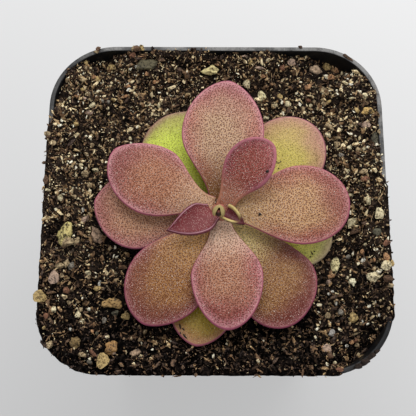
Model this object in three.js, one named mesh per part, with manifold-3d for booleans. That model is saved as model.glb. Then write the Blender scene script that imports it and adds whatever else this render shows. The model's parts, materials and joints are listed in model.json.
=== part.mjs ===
// A butterwort (Pinguicula) rosette growing in a square nursery pot of black plastic.
// Units are millimetres and +Z is up. The origin is the middle of the pot's underside.
// The pot holds a block of gritty peat. The plant's short stem stands in a plain hole in the peat,
// each leaf is a thick blade that springs from the stem, and large grains of grit lie in sockets.

import * as THREE from 'three';
import { mergeVertices } from 'three/addons/utils/BufferGeometryUtils.js';
import Module from 'manifold-3d';

const wasm = await Module();
wasm.setup();

// ---------------------------------------------------------------- driving dimensions

const GAP = 0.35;                      // clearance left between pieces that touch

const POT_WIDTH = 76;                  // across the rim, outside
const POT_HEIGHT = 70;
const POT_BASE_WIDTH = 55.4;
const RIM_CORNER = 15;                 // outer corner radius at the rim
const BASE_CORNER = 9;
const WALL = 1.1;
const FLOOR = 1.5;
const COLLAR_HEIGHT = 9;               // the rim collar that steps out from the tapered wall
const COLLAR_STEP = 0.7;
const EDGE_BREAK = 0.3;                // small chamfer on the rim's edges
const DRAIN_RADIUS = 3;
const DRAIN_OFFSET = 17;               // drain holes from the middle, along X and along Y

const CROWN_X = 0.9;                   // where the stem stands
const CROWN_Y = -3.4;
const STEM_RADIUS = 2.3;
const STEM_HOLE_RADIUS = 4.2;
const STEM_HOLE_BOTTOM = 42;
const ROOT_COUNT = 5;

const SOIL_LEVEL = 65.7;               // under the leaves
const SOIL_EDGE_RISE = 2.7;            // the peat climbs towards the wall
const SOIL_EDGE_START = 0.78;          // where that climb starts, as a part of the half width

const LEAF_EDGE = 0.7;                 // blade thickness at the margin
const LEAF_MIDDLE = 1.25;              // and over the middle

// Heaps and hollows of the peat: place, reach along X and along Y, and height.
const SOIL_FORMS = [
  { x: -38, y: -6, reachX: 8, reachY: 24, height: 1.9 },     // heaped against the left wall
  { x: -8, y: -38, reachX: 26, reachY: 7, height: 1.8 },     // heaped against the front wall
  { x: 38, y: -2, reachX: 6, reachY: 22, height: 1.6 },      // heaped against the right wall
  { x: -5, y: 38, reachX: 16, reachY: 6, height: 1.6 },      // heaped against the back wall
  { x: -33, y: 26, reachX: 7, reachY: 9, height: 1.2 },      // heaped in the back left corner
  { x: 35, y: 24, reachX: 6, reachY: 9, height: 1.2 },       // heaped in the back right corner
  { x: -24, y: 35, reachX: 5, reachY: 4, height: -2.6 },     // hollow, back left
  { x: 28, y: 34, reachX: 6, reachY: 4.5, height: -3.4 },    // hollow, back right
  { x: 30, y: -30, reachX: 8, reachY: 7, height: -3.2 },     // hollow, front right
];

// Each leaf: where its blade points (degrees round the crown), its length and greatest width,
// the height it leaves the stem at, its slope at the base and at the tip (degrees), how far its
// cross-section curls (radians, positive cups upward), how far it bends sideways on its way out
// (degrees), where it is widest (part of its length), its width at the base, its distance from
// the stem's axis, and how blunt the tip (0.5 is round) and how slim the waist (1 is full) are.
const LEAVES = [
  { name: 'leaf_lowest_back_left', heading: 116, length: 25, width: 20.5, height: 68.7, rise: -3,
    fall: -3, curl: -0.1, bend: 0, widest: 0.6, base: 3.2, start: 2.9, tip: 0.5, taper: 1.25 },
  { name: 'leaf_lowest_back_right', heading: 43, length: 28, width: 18, height: 68.7, rise: -3,
    fall: 5, curl: -0.15, bend: -15, widest: 0.65, base: 2.8, start: 2.9, tip: 0.5, taper: 1.25 },
  { name: 'leaf_lowest_right', heading: -12, length: 22.5, width: 15, height: 68.7, rise: -3,
    fall: -3, curl: -0.1, bend: 0, widest: 0.6, base: 2.5, start: 2.9, tip: 0.5, taper: 1.25 },
  { name: 'leaf_lowest_front', heading: -100, length: 26, width: 15, height: 68.7, rise: -1,
    fall: 1, curl: -0.1, bend: 5, widest: 0.6, base: 3.2, start: 2.9, tip: 0.6, taper: 1.25 },
  { name: 'leaf_low_left', heading: 173, length: 25, width: 18.5, height: 70.2, rise: 4,
    fall: -4, curl: -0.15, bend: -10, widest: 0.6, base: 3.4, start: 2.9, tip: 0.65, taper: 2 },
  { name: 'leaf_low_front_right', heading: -47, length: 25.5, width: 18, height: 70.2, rise: 4,
    fall: -4, curl: -0.2, bend: 30, widest: 0.7, base: 4.8, start: 2.9, tip: 0.45, taper: 0.75 },
  { name: 'leaf_low_front_left', heading: -123, length: 26.5, width: 17.5, height: 71.5, rise: 8,
    fall: -8, curl: -0.2, bend: 25, widest: 0.6, base: 3.8, start: 2.9, tip: 0.6, taper: 1.75 },
  { name: 'leaf_upper_front', heading: -87, length: 23.5, width: 15.5, height: 73.1, rise: 14,
    fall: -8, curl: -0.3, bend: -15, widest: 0.5, base: 5.0, start: 2.7, tip: 0.55, taper: 2.0 },
  { name: 'leaf_upper_back', heading: 86, length: 28, width: 18.5, height: 72.35, rise: 14,
    fall: -4, curl: -0.25, bend: -10, widest: 0.55, base: 5.0, start: 2.7, tip: 0.6, taper: 2 },
  { name: 'leaf_upper_right', heading: 5, length: 25.5, width: 18.0, height: 73.75, rise: 14,
    fall: -8, curl: -0.25, bend: 5, widest: 0.6, base: 5.0, start: 2.7, tip: 0.45, taper: 1.5 },
  { name: 'leaf_upper_left', heading: 149, length: 24.5, width: 16.0, height: 73.65, rise: 14,
    fall: -8, curl: -0.25, bend: -35, widest: 0.55, base: 4.4, start: 3, tip: 0.6, taper: 1.75 },
  { name: 'leaf_young_back_right', heading: 47, length: 16.5, width: 11.0, height: 74.7, rise: 35,
    fall: 15, curl: 0.5, bend: -35, widest: 0.6, base: 4.2, start: 2.1, tip: 0.6, taper: 2 },
  { name: 'leaf_young_left', heading: -156, length: 11, width: 7.5, height: 74.8, rise: 25,
    fall: -10, curl: 0.7, bend: -30, widest: 0.3, base: 4.8, start: 1.9, tip: 1.25, taper: 1.5 },
  { name: 'leaf_bud_right', heading: -37, length: 5.1, width: 4.9, height: 75.5, rise: 22,
    fall: 6, curl: 1.35, bend: 0, widest: 0.12, base: 4.7, start: 1.6, tip: 0.9, taper: 1,
    edge: 0.6, middle: 0.7 },
  { name: 'leaf_bud_centre', heading: 80, length: 2.1, width: 5.2, height: 77.9, rise: 86,
    fall: 95, curl: 2.4, bend: 0, widest: 0.45, base: 4.8, start: -0.8, tip: 0.3, taper: 1,
    edge: 0.6, middle: 0.65 },
];

// Large grains and flakes in the peat: place, half sizes, and turn about the vertical (degrees).
const GRAINS = [
  { name: 'pumice_back', x: -1.5, y: 32.8, half: [2.1, 1.3, 1.2], turn: 8 },
  { name: 'pumice_back_right', x: 10.6, y: 27.6, half: [1.3, 1.5, 1.2], turn: 20 },
  { name: 'pumice_far_right', x: 23.6, y: 33.9, half: [2.0, 1.1, 1.1], turn: -16 },
  { name: 'bark_back_left', x: -16.0, y: 34.0, half: [2.3, 1.4, 0.7], turn: 14 },
  { name: 'pumice_right', x: 34.7, y: 22.0, half: [1.7, 1.0, 1.0], turn: 12 },
  { name: 'pumice_left', x: -33.0, y: -7.1, half: [1.9, 3.1, 1.2], turn: 4 },
  { name: 'pumice_near_left_leaf', x: -26.5, y: -6.7, half: [1.4, 2.3, 1.0], turn: 14 },
  { name: 'pumice_front_left', x: -22.4, y: -21.8, half: [2.6, 1.4, 1.1], turn: -8 },
  { name: 'pumice_front_corner', x: -22.0, y: -32.1, half: [1.8, 1.5, 1.1], turn: 20 },
  { name: 'pumice_front', x: -17.1, y: -33.4, half: [1.6, 1.1, 1.0], turn: -10 },
  { name: 'pumice_corner_left', x: -29.9, y: -31.2, half: [1.6, 1.1, 1.0], turn: -12 },
  { name: 'pumice_right_leaf', x: 26.4, y: -13.0, half: [1.1, 1.9, 1.0], turn: 12 },
  { name: 'perlite_right', x: 30.0, y: -17.2, half: [0.9, 1.0, 0.9], turn: 0 },
  { name: 'perlite_front_right', x: 25.4, y: -28.1, half: [0.95, 1.1, 1.0], turn: 0 },
];
const GRAIN_SUNK = 0.15;               // how far a grain's middle lies below the peat, by its half height
const GRAIN_ROUGHNESS = 0.16;          // how uneven a grain is, as a part of its size
const SOCKET_MARGIN = 0.48;            // a socket is this much larger than its grain all round

// ---------------------------------------------------------------- colours and finishes

const FINISH = {
  pot: { color: 0x17181a, roughness: 0.45 },
  soil: { color: 0x2a211b, roughness: 0.95 },
  crown: { color: 0xb9a48a, roughness: 0.6 },
  pumice: { color: 0xc9b995, roughness: 0.9 },
  perlite: { color: 0xd9d6cc, roughness: 0.9 },
  bark: { color: 0x3b3a35, roughness: 0.85 },
  leaf_lowest: { color: 0xa9b34d, roughness: 0.45 },
  leaf_low: { color: 0xa97a62, roughness: 0.45 },
  leaf_upper: { color: 0xb9806f, roughness: 0.45 },
  leaf_young: { color: 0x8c4550, roughness: 0.4 },
  leaf_bud: { color: 0x7d3b42, roughness: 0.4 },
};

const model = new THREE.Group();

function addMesh(name, finish, geometry) {
  const material = new THREE.MeshStandardMaterial({ ...FINISH[finish], metalness: 0 });
  const mesh = new THREE.Mesh(geometry, material);
  mesh.name = name;
  model.add(mesh);
}

// ---------------------------------------------------------------- helpers

const radians = THREE.MathUtils.degToRad;
const mix = THREE.MathUtils.lerp;

// A small repeatable random generator, 0 to 1.
function seededRandom(seed) {
  let state = seed;
  return () => {
    state = (Math.imul(state, 1664525) + 1013904223) >>> 0;
    return state / 2 ** 32;
  };
}

function meshFrom(points, faces) {
  const geometry = new THREE.BufferGeometry();
  geometry.setAttribute('position', new THREE.Float32BufferAttribute(points.flat(), 3));
  geometry.setIndex(faces.flat());
  geometry.computeVertexNormals();
  return geometry;
}

// Skins a stack of closed rings, each anticlockwise from above, and caps both ends with fans.
function loft(rings) {
  const count = rings[0].length;
  const points = rings.flat();
  const faces = [];
  for (let level = 0; level < rings.length - 1; level += 1) {
    for (let i = 0; i < count; i += 1) {
      const a = level * count + i;
      const b = level * count + (i + 1) % count;
      faces.push([a, b, b + count], [a, b + count, a + count]);
    }
  }
  const caps = [{ ring: rings[0], first: 0, up: false },
    { ring: rings.at(-1), first: (rings.length - 1) * count, up: true }];
  for (const { ring, first, up } of caps) {
    const middle = [0, 1, 2].map((axis) => ring.reduce((sum, point) => sum + point[axis], 0) / count);
    const hub = points.push(middle) - 1;
    for (let i = 0; i < count; i += 1) {
      const a = first + i;
      const b = first + (i + 1) % count;
      faces.push(up ? [hub, a, b] : [hub, b, a]);
    }
  }
  return meshFrom(points, faces);
}

function toSolid(geometry) {
  const bare = geometry.clone();
  bare.deleteAttribute('normal');
  bare.deleteAttribute('uv');
  const merged = mergeVertices(bare, 1e-4);
  return new wasm.Manifold(new wasm.Mesh({
    numProp: 3,
    vertProperties: new Float32Array(merged.attributes.position.array),
    triVerts: new Uint32Array(merged.index.array),
  }));
}

function fromSolid(solid) {
  const { numProp, vertProperties, triVerts } = solid.getMesh();
  const points = [];
  for (let i = 0; i < vertProperties.length; i += numProp) {
    points.push([vertProperties[i], vertProperties[i + 1], vertProperties[i + 2]]);
  }
  const faces = [];
  for (let i = 0; i < triVerts.length; i += 3) {
    faces.push([triVerts[i], triVerts[i + 1], triVerts[i + 2]]);
  }
  return meshFrom(points, faces);
}

// A solid of revolution about +Z through (x, y). The profile is [radius, height], going up.
function turned(profile, segments, x, y) {
  const lathe = new THREE.LatheGeometry(profile.map(([r, z]) => new THREE.Vector2(r, z)), segments);
  lathe.rotateX(Math.PI / 2);
  lathe.translate(x, y, 0);
  return toSolid(lathe);
}

// ---------------------------------------------------------------- the pot

const CORNER_STEPS = 6;

// A square with round corners, as points anticlockwise from above.
function roundedSquare(half, radius, z) {
  const ring = [];
  for (let corner = 0; corner < 4; corner += 1) {
    const middle = Math.PI / 4 + corner * Math.PI / 2;
    const x = Math.sign(Math.cos(middle)) * (half - radius);
    const y = Math.sign(Math.sin(middle)) * (half - radius);
    for (let step = 0; step <= CORNER_STEPS; step += 1) {
      const angle = middle + (step / CORNER_STEPS - 0.5) * Math.PI / 2;
      ring.push([x + radius * Math.cos(angle), y + radius * Math.sin(angle), z]);
    }
  }
  return ring;
}

const COLLAR_BOTTOM = POT_HEIGHT - COLLAR_HEIGHT;
const TAPER = (POT_WIDTH / 2 - COLLAR_STEP - POT_BASE_WIDTH / 2) / (POT_HEIGHT - EDGE_BREAK);

// The outside of the wall at a height: half its width, and its corner radius.
function wallAt(z, onCollar) {
  const half = POT_BASE_WIDTH / 2 + TAPER * z + (onCollar ? COLLAR_STEP : 0);
  return { half, radius: mix(BASE_CORNER, RIM_CORNER, z / POT_HEIGHT) };
}

function wallRing(z, onCollar, inset) {
  const { half, radius } = wallAt(z, onCollar);
  return roundedSquare(half - inset, radius - inset, z);
}

// Levels of the pot's inside and of what fills it, seen at a distance inside the outer wall.
function insideRings(bottom, inset) {
  const step = COLLAR_BOTTOM + inset;
  return [wallRing(bottom, false, inset), wallRing(step - EDGE_BREAK, false, inset),
    wallRing(step + EDGE_BREAK, true, inset)];
}

function makePot() {
  const outside = toSolid(loft([
    wallRing(0, false, EDGE_BREAK * 2), wallRing(EDGE_BREAK * 2, false, 0),
    wallRing(COLLAR_BOTTOM - EDGE_BREAK, false, 0), wallRing(COLLAR_BOTTOM + EDGE_BREAK, true, 0),
    wallRing(POT_HEIGHT - EDGE_BREAK, true, 0), wallRing(POT_HEIGHT, true, EDGE_BREAK),
  ]));
  const hollow = toSolid(loft([
    ...insideRings(FLOOR, WALL), wallRing(POT_HEIGHT + 1, true, WALL),
  ]));
  let pot = outside.subtract(hollow);
  for (const sx of [-1, 1]) {
    for (const sy of [-1, 1]) {
      const profile = [[0, -1], [DRAIN_RADIUS, -1], [DRAIN_RADIUS, FLOOR + 1], [0, FLOOR + 1]];
      pot = pot.subtract(turned(profile, 14, sx * DRAIN_OFFSET, sy * DRAIN_OFFSET));
    }
  }
  addMesh('pot', 'pot', fromSolid(pot));
}

// ---------------------------------------------------------------- the peat

const SOIL_RINGS = 13;
const SOIL_INSET = WALL + GAP;

// How far out a point is, 0 at the middle and 1 at the wall.
function outwardness(x, y) {
  const half = wallAt(SOIL_LEVEL, true).half - SOIL_INSET;
  return ((x / half) ** 4 + (y / half) ** 4) ** 0.25;
}

function soilHeight(x, y) {
  const climb = THREE.MathUtils.smoothstep(outwardness(x, y), SOIL_EDGE_START, 1);
  let z = SOIL_LEVEL + SOIL_EDGE_RISE * climb;
  for (const form of SOIL_FORMS) {
    const away = ((x - form.x) / form.reachX) ** 2 + ((y - form.y) / form.reachY) ** 2;
    z += form.height * Math.exp(-away);
  }
  const lumps = Math.sin(0.9 * x + 0.4 * y + 1.3) + Math.sin(0.5 * y - 0.8 * x + 0.4)
    + Math.sin(1.1 * y + 0.3 * x + 2.1);
  return z + 0.16 * lumps * (0.35 + 0.65 * climb);
}

// The peat's top edge follows the wall, so its outline depends on its own height there.
function soilEdge() {
  return wallRing(SOIL_LEVEL, true, SOIL_INSET).map(([x, y]) => {
    const z = soilHeight(x, y);
    const spread = 1 + TAPER * (z - SOIL_LEVEL) / wallAt(SOIL_LEVEL, true).half;
    return [x * spread, y * spread, z];
  });
}

// Puts extra points on a ring's long sides, so that the relief has somewhere to lie.
function subdivide(ring, longest) {
  return ring.flatMap((point, i) => {
    const next = ring[(i + 1) % ring.length];
    const parts = Math.ceil(Math.hypot(next[0] - point[0], next[1] - point[1]) / longest);
    return Array.from({ length: parts }, (_, k) => point.map((v, axis) => mix(v, next[axis], k / parts)));
  });
}

function makeSoilBlock() {
  const bottom = insideRings(FLOOR + GAP, SOIL_INSET);
  const longest = 5;
  const edge = subdivide(soilEdge(), longest).map(([x, y]) => [x, y, soilHeight(x, y)]);
  const count = edge.length;
  const side = bottom.map((ring) => matchRing(ring, edge));
  const rings = [...side, edge];
  for (let i = 1; i < SOIL_RINGS; i += 1) {
    const shrink = 1 - i / SOIL_RINGS;
    rings.push(edge.map(([x, y]) => [x * shrink, y * shrink, soilHeight(x * shrink, y * shrink)]));
  }
  if (rings.some((ring) => ring.length !== count)) throw new Error('uneven rings');
  return toSolid(loft(rings));
}

// Points of a ring in the same directions as those of another, so that the two skin together.
function matchRing(ring, guide) {
  const z = ring[0][2];
  return guide.map(([gx, gy]) => {
    const along = new THREE.Vector2(gx, gy).normalize();
    for (let i = 0; i < ring.length; i += 1) {
      const a = new THREE.Vector2(ring[i][0], ring[i][1]);
      const b = new THREE.Vector2(ring[(i + 1) % ring.length][0], ring[(i + 1) % ring.length][1]);
      const ca = along.cross(a);
      const cb = along.cross(b);
      if (ca <= 0 && cb > 0 && along.dot(a) > 0) {
        const point = a.lerp(b, ca / (ca - cb));
        return [point.x, point.y, z];
      }
    }
    throw new Error('a ring does not surround its middle');
  });
}

// ---------------------------------------------------------------- the grains

// An uneven pebble about the origin: a ball with seeded bumps, at the given half sizes.
function pebble(half, seed) {
  const random = seededRandom(seed);
  const ball = new THREE.IcosahedronGeometry(1, 1);
  ball.deleteAttribute('normal');
  ball.deleteAttribute('uv');
  const merged = mergeVertices(ball, 1e-4);
  const place = merged.attributes.position;
  const point = new THREE.Vector3();
  for (let i = 0; i < place.count; i += 1) {
    const bump = 1 + GRAIN_ROUGHNESS * (2 * random() - 1);
    point.fromBufferAttribute(place, i).multiplyScalar(bump);
    place.setXYZ(i, point.x * half[0], point.y * half[1], point.z * half[2]);
  }
  return merged;
}

function placeGrain(grain, index, margin) {
  const half = grain.half.map((size) => size + margin);
  const geometry = pebble(half, 101 + index);
  geometry.rotateZ(radians(grain.turn));
  const z = soilHeight(grain.x, grain.y) - GRAIN_SUNK * grain.half[2];
  geometry.translate(grain.x, grain.y, z);
  return geometry;
}

function makeSoil() {
  let soil = makeSoilBlock();
  const hole = [[0, STEM_HOLE_BOTTOM], [STEM_HOLE_RADIUS, STEM_HOLE_BOTTOM],
    [STEM_HOLE_RADIUS, POT_HEIGHT], [0, POT_HEIGHT]];
  soil = soil.subtract(turned(hole, 16, CROWN_X, CROWN_Y));
  GRAINS.forEach((grain, index) => {
    soil = soil.subtract(toSolid(placeGrain(grain, index, SOCKET_MARGIN)));
  });
  addMesh('soil', 'soil', fromSolid(soil));
}

function makeGrains() {
  GRAINS.forEach((grain, index) => {
    addMesh(grain.name, grain.name.split('_')[0], placeGrain(grain, index, 0));
  });
}

// ---------------------------------------------------------------- the stem and its roots

const STEM_TOP = 77.6;
const STEM_PROFILE = [
  [0, 62.6], [1.5, 63.4], [STEM_RADIUS, 66.5], [STEM_RADIUS, 72.2], [2.1, 73.6], [1.5, 74.3],
  [1.2, 75.2], [0.7, 76], [0.55, STEM_TOP - 0.3], [0, STEM_TOP],
];

// A tapering root that leaves the stem's foot and bows outward on its way down.
function makeRoot(angle, length) {
  const sides = 6;
  const steps = 5;
  const rings = [];
  for (let step = steps; step >= 0; step -= 1) {
    const along = step / steps;
    const reach = 0.7 + 1.7 * Math.sin(along * Math.PI * 0.62);
    const radius = mix(0.62, 0.4, along);
    const x = CROWN_X + reach * Math.cos(angle + 0.5 * along);
    const y = CROWN_Y + reach * Math.sin(angle + 0.5 * along);
    const ring = [];
    for (let side = 0; side < sides; side += 1) {
      const round = side / sides * Math.PI * 2;
      ring.push([x + radius * Math.cos(round), y + radius * Math.sin(round), 65 - length * along]);
    }
    rings.push(ring);
  }
  return toSolid(loft(rings));
}

function makeCrown() {
  let crown = turned(STEM_PROFILE, 14, CROWN_X, CROWN_Y);
  const random = seededRandom(7);
  for (let i = 0; i < ROOT_COUNT; i += 1) {
    const length = mix(15, 21, random());
    crown = crown.add(makeRoot(i / ROOT_COUNT * Math.PI * 2, length));
  }
  addMesh('crown', 'crown', fromSolid(crown));
}

// ---------------------------------------------------------------- the leaves

const SPINE_STEPS = 60;                // walking steps along a leaf's midrib
const NECK_STATIONS = 5;               // rows of points from the base to the widest place
const TIP_STATIONS = 6;                // and from there to the tip
const ACROSS = 6;                      // strips across a blade

// Half the blade's width at s, which runs from 0 at the base to 1 at the tip.
function halfWidth(leaf, s) {
  if (s >= leaf.widest) {
    const x = (s - leaf.widest) / (1 - leaf.widest);
    return leaf.width / 2 * Math.max(0, 1 - x * x) ** leaf.tip;
  }
  const neck = leaf.base / leaf.width;
  const swell = Math.sin(Math.PI / 2 * s / leaf.widest) ** leaf.taper;
  return leaf.width / 2 * (neck + (1 - neck) * swell);
}

function directionAt(leaf, s) {
  const pitch = radians(mix(leaf.rise, leaf.fall, s));
  const heading = radians(leaf.heading + leaf.bend * (s - 0.5));
  const flat = Math.cos(pitch);
  return new THREE.Vector3(flat * Math.cos(heading), flat * Math.sin(heading), Math.sin(pitch));
}

// The midrib, as points walked out from the stem.
function midrib(leaf) {
  const out = radians(leaf.heading);
  const point = new THREE.Vector3(CROWN_X + leaf.start * Math.cos(out),
    CROWN_Y + leaf.start * Math.sin(out), leaf.height);
  const points = [point.clone()];
  for (let i = 0; i < SPINE_STEPS; i += 1) {
    point.addScaledVector(directionAt(leaf, (i + 0.5) / SPINE_STEPS), leaf.length / SPINE_STEPS);
    points.push(point.clone());
  }
  return points;
}

// The blade's thickness: full over the middle and thin at the margin and the tip.
function thickness(leaf, s, u) {
  const edge = leaf.edge ?? LEAF_EDGE;
  const middle = leaf.middle ?? LEAF_MIDDLE;
  const x = Math.max(0, (s - leaf.widest) / (1 - leaf.widest));
  const outward = x * x + u * u * (1 - x * x);
  const grown = mix(0.35, 1, Math.min(1, 2.5 * s));
  return edge + (middle - edge) * (1 - outward) * grown;
}

// A point of the upper (+1) or lower (-1) face: s along the blade, u across it from -1 to 1.
function bladePoint(leaf, rib, s, u, face) {
  const walk = s * SPINE_STEPS;
  const step = Math.min(Math.floor(walk), SPINE_STEPS - 1);
  const point = rib[step].clone().lerp(rib[step + 1], walk - step);
  const along = directionAt(leaf, s);
  const heading = radians(leaf.heading + leaf.bend * (s - 0.5));
  const side = new THREE.Vector3(-Math.sin(heading), Math.cos(heading), 0);
  const up = along.cross(side);
  const bow = halfWidth(leaf, s) / leaf.curl;
  const turn = u * leaf.curl;
  const lift = face * thickness(leaf, s, u) / 2;
  point.addScaledVector(side, bow * Math.sin(turn) - lift * Math.sin(turn));
  point.addScaledVector(up, bow * (1 - Math.cos(turn)) + lift * Math.cos(turn));
  return point.toArray();
}

function leafStations(leaf) {
  const stations = [];
  for (let i = 0; i < NECK_STATIONS; i += 1) stations.push(leaf.widest * i / NECK_STATIONS);
  for (let i = 0; i < TIP_STATIONS; i += 1) {
    stations.push(mix(leaf.widest, 1, Math.sin(Math.PI / 2 * i / TIP_STATIONS)));
  }
  return stations;
}

// A closed blade: both faces share one pattern of triangles, and a narrow margin joins them.
function makeBlade(leaf) {
  const rib = midrib(leaf);
  const stations = leafStations(leaf);
  const points = [];
  const faces = [];
  const grids = [1, -1].map((face) => stations.map((s) => {
    const row = [];
    for (let j = 0; j <= ACROSS; j += 1) {
      row.push(points.push(bladePoint(leaf, rib, s, 2 * j / ACROSS - 1, face)) - 1);
    }
    return row;
  }));
  const tips = [1, -1].map((face) => points.push(bladePoint(leaf, rib, 1, 0, face)) - 1);
  const last = stations.length - 1;
  grids.forEach((grid, which) => {
    const add = (a, b, c) => faces.push(which === 0 ? [a, b, c] : [a, c, b]);
    for (let i = 0; i < last; i += 1) {
      for (let j = 0; j < ACROSS; j += 1) {
        add(grid[i][j], grid[i + 1][j], grid[i + 1][j + 1]);
        add(grid[i][j], grid[i + 1][j + 1], grid[i][j + 1]);
      }
    }
    for (let j = 0; j < ACROSS; j += 1) add(grid[last][j], tips[which], grid[last][j + 1]);
  });
  const [top, bottom] = grids;
  const strip = (a, b) => {              // joins a run of the upper margin to the lower one
    for (let i = 0; i < a.length - 1; i += 1) {
      faces.push([b[i], b[i + 1], a[i + 1]], [b[i], a[i + 1], a[i]]);
    }
  };
  const outline = (grid, tip) => [
    ...grid.map((row) => row[0]), tip, ...grid.map((row) => row[ACROSS]).reverse(),
    ...grid[0].slice(0, ACROSS).reverse(),
  ];
  strip(outline(top, tips[0]), outline(bottom, tips[1]));
  return meshFrom(points, faces);
}

function makeLeaves() {
  for (const leaf of LEAVES) {
    addMesh(leaf.name, leaf.name.split('_').slice(0, 2).join('_'), makeBlade(leaf));
  }
}

// ---------------------------------------------------------------- the whole

makePot();
makeSoil();
makeGrains();
makeCrown();
makeLeaves();

export default model;
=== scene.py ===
import json
import math

import bmesh
import bpy
import numpy as np
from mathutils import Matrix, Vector, noise
from mathutils.bvhtree import BVHTree

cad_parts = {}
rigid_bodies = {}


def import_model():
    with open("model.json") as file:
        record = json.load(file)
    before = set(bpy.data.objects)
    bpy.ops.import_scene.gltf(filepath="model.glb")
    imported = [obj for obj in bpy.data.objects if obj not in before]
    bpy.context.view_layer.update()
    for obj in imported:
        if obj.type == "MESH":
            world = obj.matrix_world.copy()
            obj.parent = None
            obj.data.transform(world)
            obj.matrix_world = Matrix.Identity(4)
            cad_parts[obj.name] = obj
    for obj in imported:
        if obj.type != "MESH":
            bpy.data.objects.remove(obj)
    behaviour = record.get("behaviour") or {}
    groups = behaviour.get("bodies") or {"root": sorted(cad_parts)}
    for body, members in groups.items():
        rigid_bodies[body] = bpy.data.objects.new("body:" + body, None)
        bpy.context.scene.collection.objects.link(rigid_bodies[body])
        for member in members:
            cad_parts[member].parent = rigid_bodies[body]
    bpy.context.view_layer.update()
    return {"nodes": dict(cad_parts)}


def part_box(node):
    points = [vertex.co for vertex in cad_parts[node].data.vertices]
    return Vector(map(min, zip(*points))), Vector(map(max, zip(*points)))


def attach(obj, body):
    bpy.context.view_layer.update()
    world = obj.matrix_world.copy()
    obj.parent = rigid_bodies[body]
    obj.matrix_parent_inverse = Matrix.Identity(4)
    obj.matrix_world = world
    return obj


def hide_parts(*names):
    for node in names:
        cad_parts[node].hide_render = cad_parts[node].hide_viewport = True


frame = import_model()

# ---------------------------------------------------------------- the studio
# A plain pale table top under soft light. Most of the light comes from above and behind the
# pot, and the table top is painted with a faint glow of its own, more to the back right, so that
# no dark shadow lies in front of the pot.

MM = 0.001                       # the object is worked out in millimetres and stored in metres
CAMERA_TARGET = Vector((-1.67, -1.52, 70.0)) * MM
CAMERA_ELEVATION = math.radians(72.48)
CAMERA_TURN = math.radians(0.18)
CAMERA_DISTANCE = 198.28 * MM
CAMERA_LENS, CAMERA_SENSOR = 77.85, 36
CAMERA_NEAR = 0.01
TABLE_SIZE = 3.0
TABLE_COLOUR = (126, 126, 126)
# the table's painted glow, a light it does not get from any lamp:
PAINTED_TABLE_GLOW = ((170, 170, 170), (208, 208, 208))   # from the front left to the back right
GLOW_WAY, GLOW_REACH = {"X": 0.5, "Y": 1.3}, (-80, 170)
ROOM_COLOUR = (236, 238, 242)
ROOM_STRENGTH = 0.62
WINDOW_PLACE = (0.08, 0.38, 0.5)
WINDOW_SIZE = 0.7
WINDOW_POWER = 3.8


def linear(*screen):
    """A colour given as it looks on a screen, 0 to 255, as Blender's own linear one."""
    parts = [c / 255 for c in screen]
    return tuple(c / 12.92 if c < 0.04045 else ((c + 0.055) / 1.055) ** 2.4 for c in parts) + (1.0,)


class Wire:
    """A socket of the node tree in hand. Python's operators on it add Math nodes."""

    tree = None

    def __init__(self, socket):
        self.socket = socket

    @classmethod
    def node(cls, kind, settings=None, inputs=None, output=0):
        """Any node: its settings first, then the values or links of its sockets."""
        made = cls.tree.nodes.new(kind)
        for name, value in (settings or {}).items():
            if name == "stops":
                elements = made.color_ramp.elements
                elements[0].position, elements[0].color = value[0][0], linear(*value[0][1])
                elements.remove(elements[1])
                for place, colour in value[1:]:
                    elements.new(place).color = linear(*colour)
            else:
                setattr(made, name, value)
        for name, value in (inputs or {}).items():
            socket = made.inputs[name]
            if isinstance(value, Wire):
                cls.tree.links.new(value.socket, socket)
            else:
                socket.default_value = linear(*value) if socket.type == "RGBA" else value
        return cls(made.outputs[output]) if made.outputs else made

    def also(self, output):
        """Another output of the same node."""
        return Wire(self.socket.node.outputs[output])

    @classmethod
    def maths(cls, operation, *values):
        return cls.node("ShaderNodeMath", {"operation": operation}, dict(enumerate(values)))

    @classmethod
    def mix(cls, first, second, share):
        """A colour that goes from the first to the second."""
        return cls.node("ShaderNodeMix", {"data_type": "RGBA"}, {0: share, 6: first, 7: second}, 2)

    @classmethod
    def ramp(cls, stops, value):
        """The colour at this value, from stops of a place and a screen colour each."""
        return cls.node("ShaderNodeValToRGB", {"stops": stops}, {"Fac": value})

    def between(self, low, high):
        """0 at low, 1 at high and a smooth step between them, whichever of the two is larger."""
        return self.node("ShaderNodeMapRange", {"interpolation_type": "SMOOTHSTEP"},
                         {0: self, 1: low, 2: high})

    def __add__(self, other):
        return self.maths("ADD", self, other)

    def __sub__(self, other):
        return self.maths("SUBTRACT", self, other)

    def __rsub__(self, other):
        return self.maths("SUBTRACT", other, self)

    def __mul__(self, other):
        return self.maths("MULTIPLY", self, other)

    def __truediv__(self, other):
        return self.maths("DIVIDE", self, other)

    def __pow__(self, other):
        return self.maths("POWER", self, other)

    __radd__, __rmul__ = __add__, __mul__


def start_finish(name):
    """A new material, whose tree is the one in hand from here on."""
    material = bpy.data.materials.new(name)
    material.use_nodes = True
    material.node_tree.nodes.clear()
    Wire.tree = material.node_tree
    return material


def end_finish(sockets):
    """Closes the tree in hand with one surface shader."""
    shader = Wire.node("ShaderNodeBsdfPrincipled", None, sockets)
    Wire.node("ShaderNodeOutputMaterial", None, {"Surface": shader})


def place():
    return Wire.node("ShaderNodeTexCoord", output="Object")


def coordinate(axis):
    """How far along X, Y or Z the surface lies, in millimetres."""
    return Wire.node("ShaderNodeSeparateXYZ", None, {0: place()}, axis) / MM


scene = bpy.context.scene
scene.view_settings.view_transform = "Standard"
room = bpy.data.worlds.new("room")
room.use_nodes = True
glow = room.node_tree.nodes["Background"].inputs
glow["Color"].default_value = linear(*ROOM_COLOUR)
glow["Strength"].default_value = ROOM_STRENGTH
scene.world = room

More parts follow.
